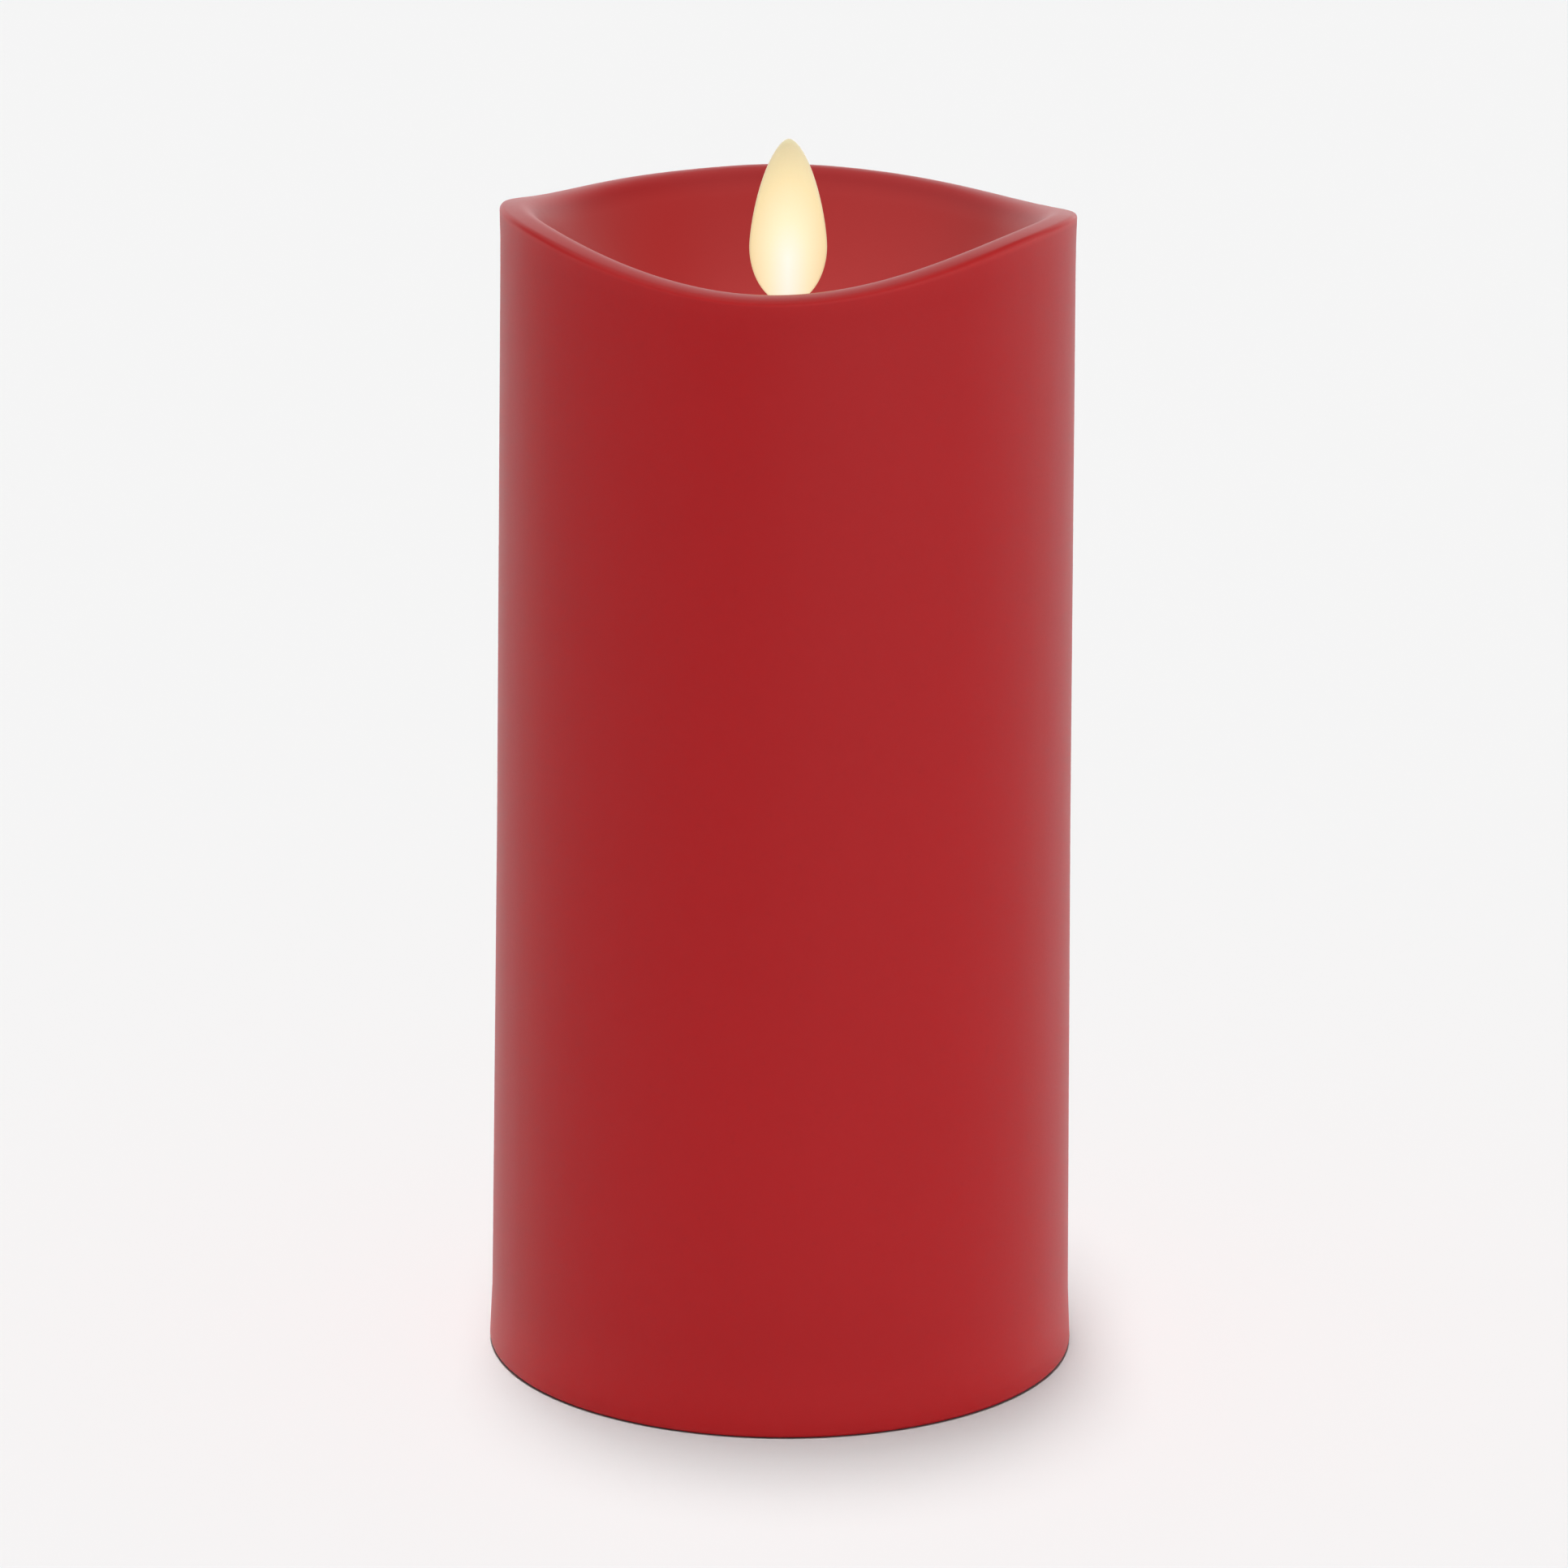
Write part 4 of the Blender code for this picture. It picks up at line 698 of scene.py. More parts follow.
def flame_finish():
    flame = Finish("frosted_flame", Roughness=0.5, Emission_Strength=1.0, Specular_IOR_Level=0.3)
    across = flame.along("X") / (6.5 * MM)
    up = (flame.along("Z") - CORE_Z) / (13.0 * MM)
    up = up - up.math("MINIMUM", up, 0.0) * 0.85
    away = (across * across + up * up) ** 0.5
    stops = ((0.0, (0.84, 0.87, 0.76)), (0.35, (0.82, 0.77, 0.49)), (0.7, (0.70, 0.59, 0.29)),
             (1.0, (0.46, 0.40, 0.19)))
    # Painted light: the lamp's light is painted into the flame as glow, white in the low core, cream outwards.
    glow = flame.add("ShaderNodeValToRGB", {"stops": stops}, {"Fac": away * 0.75})
    # Painted shade: the thin edges glow dimmer, and the stem below the bowl's floor hardly glows.
    depth = flame.along("Y").size()
    glow = flame.mix(depth.rise(0.0, 0.9 * MM), (0.48, 0.42, 0.24), glow)
    glow = flame.mix(flame.along("Z").rise(157 * MM, 166 * MM), (0.06, 0.045, 0.02), glow)
    frost = flame.noise(0.35 * MM, 2.0)
    flame.colour(flame.mix(frost, (0.48, 0.44, 0.34), (0.52, 0.48, 0.38)))
    flame.feed(flame.shader.inputs["Emission Color"], glow)
    flame.bump(frost, 0.02 * MM)
    return flame.material


# %% Loft the flame
def tear_half_width(z):
    """Half the flame's width at a height: a long tapering top, a round belly, then the stem."""
    half = (FLAME_HIGH.x - FLAME_LOW.x) / 2
    if z >= TEAR_WIDE_Z:
        share = (z - TEAR_WIDE_Z) / (FLAME_HIGH.z - TEAR_WIDE_Z)
        return half * max(1.0 - share ** 1.5, 0.0) ** 0.58
    belly = half * math.sqrt(max(1.0 - ((TEAR_WIDE_Z - z) / (8.8 * MM)) ** 2, 0.0))
    return (belly ** 6 + STEM_HALF ** 6) ** (1 / 6)


def flame_mesh():
    top = FLAME_HIGH.z
    low_z = FLAME_LOW.z + 0.9 * MM
    rows = [*np.linspace(low_z, STEM_Z, 12), *np.linspace(STEM_Z + 0.4 * MM, TEAR_WIDE_Z, 18)[:-1]]
    rows += [TEAR_WIDE_Z + (top - TEAR_WIDE_Z) * math.sin(math.radians(90.0 * s / 30)) for s in range(30)]
    bm = bmesh.new()
    rings = []
    for z in rows:
        wide = tear_half_width(z)
        thick = min(0.55 * MM + 1.7 * MM * wide / (5.9 * MM), wide)
        turns = [math.tau * s / FLAME_SIDES for s in range(FLAME_SIDES)]
        rings.append([bm.verts.new((wide * math.cos(t), thick * math.sin(t), z)) for t in turns])
    skin(bm, rings)
    bm.faces.new(list(reversed(rings[0])))
    tip = bm.verts.new((0.0, 0.0, top))
    for index in range(FLAME_SIDES):
        bm.faces.new((rings[-1][index], rings[-1][(index + 1) % FLAME_SIDES], tip))
    blade = finished(bm, "flame_body", 60.0)
    blade = carved(blade, [pin("hole", (0, 3 * MM, PIVOT_Z), (0, -3 * MM, PIVOT_Z), 0.85 * MM)])
    low_z = FLAME_LOW.z
    foot = [(0.0, low_z)] + arc(4.0 * MM, low_z + 0.3 * MM, 0.3 * MM, -90, 0, 4)
    foot += arc(4.0 * MM, low_z + 0.7 * MM, 0.3 * MM, 0, 90, 4) + [(0.0, low_z + 1.0 * MM)]
    return joined("flame_body", blade, turned("foot", foot, 48))


flame_body = piece("flame_body", flame_mesh(), "flame", "flame", flame_finish(), "flame_blade")
flame_body.visible_shadow = False
flame_light = make_light("flame_light", "POINT", (0, 0, CORE_Z), (0, 0, 0), 0.004, color=(1.0, 0.55, 0.3))
flame_light.data.shadow_soft_size = 4 * MM
print(f"flame: {len(flame_body.data.polygons)} faces")

# %% [markdown]
# ## Moulded plastic, plated steel and the other finishes of the works
# Each finish below answers one question: what does this surface do besides its colour?  Moulded
# plastic has a fine spark-eroded grain and scuffs that catch the light.  Plated steel is streaked along
# the way it was rolled.  Enamelled copper is glossy and darker between its turns.


# %% Finishes for plastic
def scaled(colour, share):
    return tuple(part * share for part in colour)


def moulded_finish(name, first, second, rough=0.5, grain=0.25 * MM):
    """Plastic with a grained skin, cloudy pigment and duller scuffs."""
    plastic = Finish(name, Specular_IOR_Level=0.45)
    clouds = plastic.noise(9 * MM, 3.0)
    texture = plastic.noise(grain, 2.0)
    scuffs = plastic.noise(3 * MM, 4.0, 0.7, (1.0, 1.0, 0.12)).rise(0.56, 0.70)
    plastic.colour(plastic.mix(scuffs * 0.35, plastic.mix(clouds, first, second), scaled(second, 1.25)))
    plastic.feed(plastic.shader.inputs["Roughness"], rough + texture * 0.08 + scuffs * 0.14)
    plastic.bump(texture + scuffs * 0.2, 0.02 * MM)
    return plastic.material


white_look = moulded_finish("white_plastic", (0.78, 0.77, 0.73), (0.82, 0.81, 0.77))
black_look = moulded_finish("black_plastic", (0.018, 0.018, 0.020), (0.026, 0.026, 0.028), 0.42)
print("plastic: one white, one black")


# %% Finishes for metal
def metal_finish(name, first, second, rough, streak=(1.0, 1.0, 1.0), coat=0.0):
    """Metal with streaks along one direction and a few dull spots."""
    metal = Finish(name, Metallic=1.0, Coat_Roughness=0.15)
    streaks = metal.noise(0.9 * MM, 4.0, 0.65, streak)
    spots = metal.noise(2.2 * MM, 3.0, 0.6).rise(0.58, 0.72)
    metal.colour(metal.mix(spots * 0.5, metal.mix(streaks, first, second), scaled(first, 0.72)))
    metal.feed(metal.shader.inputs["Roughness"], rough + streaks * 0.10 + spots * 0.15)
    if coat:
        metal.feed(metal.shader.inputs["Coat Weight"], coat - spots * 0.2)
    metal.bump(streaks, 0.008 * MM)
    return metal.material


steel_look = metal_finish("plated_steel", (0.58, 0.58, 0.57), (0.68, 0.68, 0.66), 0.26, (6.0, 1.0, 1.0))
magnet_look = metal_finish("nickel", (0.62, 0.60, 0.55), (0.72, 0.70, 0.65), 0.16)
copper_look = metal_finish("enamelled_copper", (0.70, 0.26, 0.11), (0.80, 0.36, 0.17), 0.28,
                           (0.2, 0.2, 1.0), 0.6)
print("metal: plated steel, nickel and enamelled copper")

# %% [markdown]
# ## Collar and lamp
# A black collar lines the hole in the bowl's floor.  The flame's stem comes up through its slot, and
# a small lamp leans under the round hole in front.  The collar is turned and then carved, as a
# moulding with two holes in it is drawn.  The lamp is a clear epoxy dome, and the spot of phosphor in
# it is what makes the light.


# %% Collar
def stadium_bar(name, length, width, low, high):
    """An upright bar with round ends, for cutting slots."""
    bm = bmesh.new()
    reach = (length - width) / 2
    ring = []
    for side, first in ((1, -90), (-1, 90)):
        turns = [math.radians(first + 180 * step / 16) for step in range(17)]
        ring += [(side * reach + width / 2 * math.cos(t), width / 2 * math.sin(t)) for t in turns]
    lower = [bm.verts.new((x, y, low)) for x, y in ring]
    upper = [bm.verts.new((x, y, high)) for x, y in ring]
    bm.faces.new(list(reversed(lower)))
    bm.faces.new(upper)
    skin(bm, [lower, upper])
    return finished(bm, name)


def collar():
    outer, low, high = COLLAR_HIGH.x, COLLAR_LOW.z, COLLAR_HIGH.z
    plate, wall = 2.0 * MM, 1.2 * MM
    outline = [(0.0, high)] + arc(outer - 0.6 * MM, high - 0.6 * MM, 0.6 * MM, 90, 0, 6)
    outline += [(outer, low), (outer - wall, low), (outer - wall, high - plate), (0.0, high - plate)]
    blank = turned("collar", outline, 96)
    slot = stadium_bar("slot", 10.4 * MM, 3.8 * MM, high - 2 * plate, high + plate)
    front = -5.35 * MM
    lamp_hole = pin("hole", (0, front, high - 2 * plate), (0, front, high + plate), 2.3 * MM, 48)
    return carved(blank, [slot, lamp_hole], 0.25 * MM)


piece("collar", collar(), "candle", "black_plastic", black_look, "flame_collar")
print("collar: slot and lamp hole carved")


# %% Lamp
LAMP_TILT = math.radians(-12.0)
LAMP_RADIUS = 1.5 * MM
LAMP_FLANGE = 1.75 * MM
LAMP_HEIGHT = 5.3 * MM


def lens_finish():
    lens = Finish("clear_epoxy", Roughness=0.06, Transmission_Weight=0.85, IOR=1.54)
    haze = lens.noise(0.8 * MM, 2.0)
    lens.colour(lens.mix(haze, (0.95, 0.92, 0.84), (0.98, 0.96, 0.90)))
    lens.bump(haze, 0.01 * MM)
    return lens.material


def phosphor_finish():
    phosphor = Finish("phosphor", Roughness=0.6, Emission_Strength=3.0)
    speckle = phosphor.noise(0.12 * MM, 2.0)
    phosphor.colour(phosphor.mix(speckle, (0.9, 0.7, 0.2), (0.8, 0.6, 0.1)))
    phosphor.feed(phosphor.shader.inputs["Emission Color"],
                  phosphor.mix(speckle, (1.0, 0.78, 0.42), (1.0, 0.68, 0.32)))
    return phosphor.material


def lamp_place():
    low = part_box("led_lamp")[0]
    base = Vector((0.0, low.y + LAMP_FLANGE * math.cos(LAMP_TILT), low.z - LAMP_FLANGE * math.sin(LAMP_TILT)))
    return Matrix.Translation(base) @ Matrix.Rotation(LAMP_TILT, 4, "X")


def lamp_dome():
    outline = [(0.0, 0.0)] + arc(LAMP_FLANGE - 0.1 * MM, 0.1 * MM, 0.1 * MM, -90, 0, 3)
    outline += arc(LAMP_FLANGE - 0.1 * MM, 0.9 * MM, 0.1 * MM, 0, 90, 3) + [(LAMP_RADIUS, 1.0 * MM)]
    dome = arc(0.0, LAMP_HEIGHT - LAMP_RADIUS, LAMP_RADIUS, 0, 90, 14)
    mesh = turned("lamp_dome", outline + dome[:-1] + [(0.0, LAMP_HEIGHT)], 48)
    mesh.transform(lamp_place())
    return mesh


def lamp_cup():
    """The die in its cup, on top of the broader of the two posts."""
    cup = turned("cup", [(0.0, 1.9 * MM), (0.35 * MM, 1.9 * MM), (0.6 * MM, 2.4 * MM), (0.5 * MM, 2.4 * MM),
                         (0.3 * MM, 2.1 * MM), (0.0, 2.1 * MM)], 32)
    post = block("post", (-0.25 * MM, -0.2 * MM, 0.2 * MM), (0.25 * MM, 0.2 * MM, 1.9 * MM), 0.05 * MM)
    other = block("post", (0.75 * MM, -0.15 * MM, 0.2 * MM), (1.05 * MM, 0.15 * MM, 2.2 * MM), 0.05 * MM)
    mesh = joined("lamp_cup", cup, post, other)
    mesh.transform(lamp_place())
    return mesh


def lamp_die():
    radius, cup_floor = 0.28 * MM, 2.12 * MM
    dome = arc(0.0, cup_floor, radius, 0, 90, 6)[:-1]
    mesh = turned("lamp_die", [(0.0, cup_floor), *dome, (0.0, cup_floor + radius)], 24)
    mesh.transform(lamp_place())
    return mesh


piece("lamp_dome", lamp_dome(), "candle", "lens", lens_finish(), "led_lamp")
piece("lamp_cup", lamp_cup(), "candle", "steel", steel_look)
piece("lamp_die", lamp_die(), "candle", "lens", phosphor_finish())
print("lamp: dome, cup and die")

# %% [markdown]
# ## Screws
# Fourteen small pan-head screws hold the works together.  One function makes a screw with a domed
# head, a cross recess and a ridged shank, and each is then stood where the frame has its own.  The
# frame's box gives the length and the head's size, so only the driving direction is told.


# %% Screws
def screw_mesh(head, height, shank, length):
    """A screw whose head stands on z = 0 and whose shank runs down."""
    turns = [math.radians(angle) for angle in range(15, 91, 15)]
    outline = [(0.0, height)]
    outline += [(head * math.sin(t), height * (0.35 + 0.65 * math.cos(t))) for t in turns]
    outline += [(head, 0.1 * height), (head * 0.97, 0.0), (shank, 0.0)]
    pitch = 0.55 * MM
    for step in range(int((length - shank - 0.4 * MM) / pitch)):
        z = -0.3 * MM - pitch * step
        outline += [(shank * 0.76, z), (shank, z - pitch * 0.4), (shank, z - pitch * 0.55)]
    outline += [(shank * 0.76, -(length - shank)), (0.0, -length)]
    blank = turned("screw", outline, 28)
    arm, width, deep = head * 0.55, head * 0.13, height * 0.4
    across = block("arm", (-arm, -width, deep), (arm, width, height * 2))
    along = block("arm", (-width, -arm, deep), (width, arm, height * 2))
    return carved(blank, [across, along])


def stand_screw(node, direction):
    """Measure the frame's screw along its direction, and put a fine one in its place."""
    low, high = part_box(node)
    axis = max(range(3), key=lambda index: abs(direction[index]))
    other = (axis + 1) % 3
    size = high - low
    points = cad_points(node)
    middle = (low + high) / 2
    radial = np.delete(points - np.array(middle), axis, axis=1)
    wide = points[np.hypot(radial[:, 0], radial[:, 1]) > size[other] * 0.49][:, axis]
    sign = 1.0 if direction[axis] > 0 else -1.0
    under = wide.max() if sign > 0 else wide.min()
    head_end = (low if sign > 0 else high)[axis]
    height = abs(head_end - under)
    shank = 0.4 * size[other] / 2
    mesh = screw_mesh(size[other] / 2, height, shank, size[axis] - height)
    place = middle.copy()
    place[axis] = under
    turn = Vector((0, 0, -1)).rotation_difference(Vector(direction)).to_matrix().to_4x4()
    mesh.transform(Matrix.Translation(place) @ turn)
    piece(f"fine_{node}", mesh, "candle", "steel", steel_look, node)


SCREWS = (("housing_screw", 4, (0, 0, -1)), ("board_screw", 2, (-1, 0, 0)), ("holder_screw", 2, (0, 0, -1)),
          ("base_screw", 4, (0, 0, 1)), ("switch_screw", 2, (0, 0, -1)))
for group, count, direction in SCREWS:
    for number in range(1, count + 1):
        stand_screw(f"{group}_{number}", direction)
print(f"screws: {sum(count for _, count, _ in SCREWS)}")

# %% [markdown]
# ## Housing, canister and the other moulded boxes
# These shapes are right in the frame, so the frame's own meshes stay.  They are only dressed: their
# triangles are welded and merged, a small bevel rounds every corner, and each takes its finish.


# %% Dress the frame's own mouldings
def dress(node, look, edge):
    thing = frame["nodes"][node]
    thing.data.materials.clear()
    thing.data.materials.append(look)
    weld = thing.modifiers.new("weld", "WELD")
    weld.merge_threshold = 0.005 * MM
    merge = thing.modifiers.new("merge", "DECIMATE")
    merge.decimate_type = "DISSOLVE"
    merge.angle_limit = math.radians(1.0)
    add_bevel(thing, edge)
    smooth = thing.modifiers.new("smooth", "WEIGHTED_NORMAL")
    smooth.keep_sharp = False


DRESSED = (                        # node, finish, width of its bevels in millimetres
    ("housing_left", white_look, 0.3), ("housing_right", white_look, 0.3),
    ("inner_sleeve", white_look, 0.3), ("battery_holder", black_look, 0.25),
    ("base_cap", black_look, 0.15), ("battery_door", black_look, 0.2),
    ("switch_case", steel_look, 0.12), ("contact_positive", steel_look, 0.08),
    ("door_contact_strip", steel_look, 0.08),
)
for node, look, edge in DRESSED:
    dress(node, look, edge * MM)
print(f"dressed: {len(DRESSED)} of the frame's own parts")

# %% [markdown]
# ## Drive coil, magnet and pivot wire
# The coil is what moves the flame.  Its winding is a stack of fine turns, so its outline is a row of
# small half rounds; one spin of that outline gives the whole winding.  The magnet over it is a plain
# nickel disc with rounded edges, and the flame hangs on a thin straight wire.


# %% Coil, bobbin, magnet, pivot wire
def winding():
    low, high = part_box("drive_coil")
    turns = 18
    pitch = (high.z - low.z) / turns
    outer = high.x - pitch / 2
    inner = 3.3 * MM
    outline = [(inner, low.z)]
    for step in range(turns):
        outline += arc(outer, low.z + pitch * (step + 0.5), pitch / 2, -90, 90, 5)
    return turned("coil_winding", outline + [(inner, high.z)], 72, 25.0)


def bobbin():
    low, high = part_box("coil_bobbin")
    bore, core, flange, edge = 1.2 * MM, 3.0 * MM, 1.0 * MM, 0.3 * MM
    outer = high.x
    outline = [(bore, low.z)] + arc(outer - edge, low.z + edge, edge, -90, 0, 4)
    outline += arc(outer - edge, low.z + flange - edge, edge, 0, 90, 4)
    outline += [(core, low.z + flange), (core, high.z - flange)]
    outline += arc(outer - edge, high.z - flange + edge, edge, -90, 0, 4)
    outline += arc(outer - edge, high.z - edge, edge, 0, 90, 4) + [(bore, high.z)]
    return turned("bobbin", outline, 72)


def magnet():
    low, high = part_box("flame_magnet")
    edge = 0.35 * MM
    outline = [(0.0, low.z)] + arc(high.x - edge, low.z + edge, edge, -90, 0, 6)
    outline += arc(high.x - edge, high.z - edge, edge, 0, 90, 6) + [(0.0, high.z)]
    return turned("magnet", outline, 64)


def pivot_rod():
    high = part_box("pivot_wire")[1]
    radius, half, edge = high.x, high.y, 0.1 * MM
    outline = [(0.0, -half), (radius - edge, -half), (radius, -half + edge), (radius, half - edge),
               (radius - edge, half), (0.0, half)]
    mesh = turned("pivot_rod", outline, 32)
    mesh.transform(Matrix.Translation((0, 0, PIVOT_Z)) @ Matrix.Rotation(math.radians(90.0), 4, "X"))
    return mesh


piece("coil_winding", winding(), "candle", "copper", copper_look, "drive_coil")
piece("bobbin", bobbin(), "candle", "black_plastic", black_look, "coil_bobbin")
piece("magnet", magnet(), "flame", "magnet", magnet_look, "flame_magnet")
piece("pivot_rod", pivot_rod(), "candle", "steel", steel_look, "pivot_wire")
print("coil of 18 turns, bobbin, magnet and pivot wire")

# %% [markdown]
# ## Board and its components
# The board's outline is right in the frame, so it stays and takes a finish like lacquered glass
# fibre.  Tracks, pads and solder are laid on it as thin shapes of their own.  Each component is
# drawn as it is made: the chip has bent legs, the crystal a drawn can on a flanged foot, the
# capacitor a rolled groove and a scored top, and the resistors dog-bone bodies with colour rings.

# %% Component finishes
def board_finish():
    board = Finish("lacquered_board", Coat_Weight=0.4, Coat_Roughness=0.2)
    weave = board.noise(0.5 * MM, 2.0, 0.5, (1.0, 0.3, 1.0))
    clouds = board.noise(6 * MM, 3.0)
    board.colour(board.mix(clouds * 0.6 + weave * 0.3, (0.012, 0.11, 0.045), (0.022, 0.17, 0.07)))
    board.feed(board.shader.inputs["Roughness"], 0.42 + weave * 0.12)
    board.bump(weave, 0.01 * MM)
    return board.material


def resistor_finish():
    """Colour rings across a body that lies along Y."""
    body = Finish("resistor", Coat_Weight=0.5, Coat_Roughness=0.15)
    tan, brown, black, red, gold = ((0.56, 0.40, 0.22), (0.12, 0.04, 0.02), (0.02, 0.02, 0.02),
                                    (0.45, 0.02, 0.02), (0.55, 0.36, 0.08))
    rings = ((0.0, tan), (0.18, brown), (0.28, tan), (0.38, black), (0.48, tan), (0.56, red), (0.66, tan),
             (0.80, gold), (0.90, tan))
    along = (body.along("Y") + 1.5 * MM) / (6.0 * MM)
    ramp = body.add("ShaderNodeValToRGB", {"stops": rings}, {"Fac": along})
    ramp.socket.node.color_ramp.interpolation = "CONSTANT"
    grain = body.noise(0.4 * MM, 2.0)
    body.colour(body.mix(grain * 0.2, ramp, tan))
    body.feed(body.shader.inputs["Roughness"], 0.35 + grain * 0.15)
    body.bump(grain, 0.02 * MM)
    return body.material


board_look = board_finish()
resistor_look = resistor_finish()
solder_look = metal_finish("solder", (0.62, 0.62, 0.60), (0.74, 0.74, 0.71), 0.22)
capacitor_look = moulded_finish("capacitor_sleeve", (0.012, 0.020, 0.075), (0.018, 0.028, 0.10), 0.32)
print("component finishes ready")

# %% Board, tracks and solder
FACE_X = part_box("control_board")[1].x
dress("control_board", board_look, 0.15 * MM)


def track(*corners, width=0.5):
    """A flat copper track on the board's face, through (y, z) corners in millimetres."""
    meshes = []
    for (y0, z0), (y1, z1) in zip(corners, corners[1:]):
        half = width / 2
        low = (FACE_X, (min(y0, y1) - half) * MM, (min(z0, z1) - half) * MM)
        high = (FACE_X + 0.04 * MM, (max(y0, y1) + half) * MM, (max(z0, z1) + half) * MM)
        meshes.append(block("track", low, high))
    return joined("tracks", *meshes)


def solder(y, z):
    """A joint on the board's face, with a hollow flank."""
    radius = 0.9 * MM
    height = 0.45 * radius
    turns = [math.radians(angle) for angle in range(15, 91, 15)]
    flank = [(radius * math.sin(t), height * math.cos(t) ** 2) for t in turns]
    mesh = turned("solder", [(0.0, height), *flank, (0.0, 0.0)], 20)
    mesh.transform(Matrix.Translation((FACE_X, y * MM, z * MM)) @ Matrix.Rotation(math.radians(90.0), 4, "Y"))
    return mesh


TRACKS = (
    ((-5.5, 120), (-5.5, 124), (-8.5, 124), (-8.5, 126)),
    ((-2.5, 118), (-2.5, 122), (8.5, 122)),
    ((1.5, 118), (1.5, 127), (-0.5, 127), (-0.5, 129)),
    ((5, 117), (10, 117), (10, 138), (4.5, 138), (4.5, 140)),
    ((-4, 119), (-7.2, 119), (-7.2, 126)),
    ((4, 119), (7, 119), (7, 123)),
    ((-1.5, 140), (-3.2, 140), (-3.2, 132), (-2, 132)),
    ((-1.5, 144), (-6, 144), (-6, 147), (-9.5, 147)),
    ((-6, 142), (-4, 142), (-4, 134), (-2, 134)),
    ((4.5, 144), (6.5, 144), (6.5, 133), (3, 133)),
)
JOINTS = ((-5.5, 120), (-2.5, 118), (1.5, 118), (5, 117), (-4, 119), (4, 119), (-6, 142), (-9.5, 147))
tracks = joined("tracks", *[track(*corners) for corners in TRACKS])
piece("tracks", tracks, "candle", "copper", copper_look)
joints = joined("solder_joints", *[solder(y, z) for y, z in JOINTS])
piece("solder_joints", joints, "candle", "steel", solder_look)
print(f"board: {len(TRACKS)} tracks and {len(JOINTS)} solder joints")


# %% Chip, transistor, crystal, capacitor, resistors
def chip_body(low, high):
    body = block("chip_body", low, high, 0.2 * MM, 2)
    y, z = low.y + 0.9 * MM, high.z - 0.9 * MM
    dimple = pin("dimple", (high.x - 0.15 * MM, y, z), (high.x + 1 * MM, y, z), 0.3 * MM, 24)
    return carved(body, [dimple])


def chip_legs(low, high):
    """Four bent legs on each long side."""
    legs = []
    for number in range(4):
        z = low.z + (high.z - low.z) * (number + 0.5) / 4
        for edge, side in ((low.y, -1), (high.y, 1)):
            for inner, outer, bottom, top in ((-0.1, 0.45, 0.55, 0.75), (0.3, 0.5, 0.08, 0.75),
                                              (0.3, 1.0, 0.05, 0.22)):
                ends = sorted((edge + side * inner * MM, edge + side * outer * MM))
                legs.append(block("leg", (FACE_X + bottom * MM, ends[0], z - 0.2 * MM),
                                  (FACE_X + top * MM, ends[1], z + 0.2 * MM), 0.04 * MM, 1))
    return joined("chip_legs", *legs)


def lead(*route):
    """A bare lead; its points are in millimetres."""
    return bent_wire("lead", [Vector(point) * MM for point in route], 0.22 * MM, 10)


def transistor_body(low, high):
    """A moulded body with one flat face and one round one."""
    bm = bmesh.new()
    middle = (low.y + high.y) / 2
    half = (high.y - low.y) / 2
    deep = high.x - low.x
    ring = [(low.x, middle - half * 0.9), (low.x + deep * 0.3, middle - half)]
    ring += [(low.x + deep * (0.3 + 0.7 * math.sin(t)), middle - half * math.cos(t))
             for t in (math.pi * step / 16 for step in range(1, 16))]
    ring += [(low.x + deep * 0.3, middle + half), (low.x, middle + half * 0.9)]
    layers = [[bm.verts.new((x, y, z)) for x, y in ring] for z in (low.z, high.z)]
    bm.faces.new(layers[0])
    bm.faces.new(layers[1])
    skin(bm, layers)
    return carved(finished(bm, "transistor_body"), [], 0.15 * MM)


def crystal_can(low, high):
    """A drawn can with round ends, on a flanged foot."""
    inset = 0.25 * MM
    edge = min((high.x - low.x) * 0.45, (high.y - low.y) / 2) * 0.8
    foot = block("foot", low, (high.x, high.y, low.z + 0.6 * MM), inset)
    can = block("can", (low.x + inset, low.y + inset, low.z + 0.4 * MM),
                (high.x - inset, high.y - inset, high.z), edge, 6)
    return joined("crystal_can", foot, can)


def capacitor_body(low, high, part):
    """The sleeve, or the bare top, of a can that stands along Z."""
    radius = (high.y - low.y) / 2
    length = high.z - low.z
    if part == "sleeve":
        outline = [(0.0, 0.0)] + arc(radius - 0.4 * MM, 0.4 * MM, 0.4 * MM, -90, 0, 4)
        outline += [(radius, 1.2 * MM), (radius - 0.35 * MM, 1.7 * MM), (radius, 2.2 * MM)]
        outline += arc(radius - 0.4 * MM, length - 0.4 * MM, 0.4 * MM, 0, 90, 4)
        outline += [(radius - 0.7 * MM, length - 0.1 * MM), (0.0, length - 0.2 * MM)]
        mesh = turned("capacitor_sleeve", outline, 48)
    else:
        top = radius - 0.7 * MM
        plate = turned("top", [(0.0, length - 0.3 * MM), (top, length - 0.3 * MM), (top, length - 0.05 * MM),
                               (0.0, length - 0.05 * MM)], 48)
        score = 0.1 * MM
        bars = [block("score", (-top, -score, length - 0.12 * MM), (top, score, length)),
                block("score", (-score, -top, length - 0.12 * MM), (score, top, length))]
        mesh = carved(plate, bars)
    mesh.transform(Matrix.Translation(((low.x + high.x) / 2, (low.y + high.y) / 2, low.z)))
    return mesh


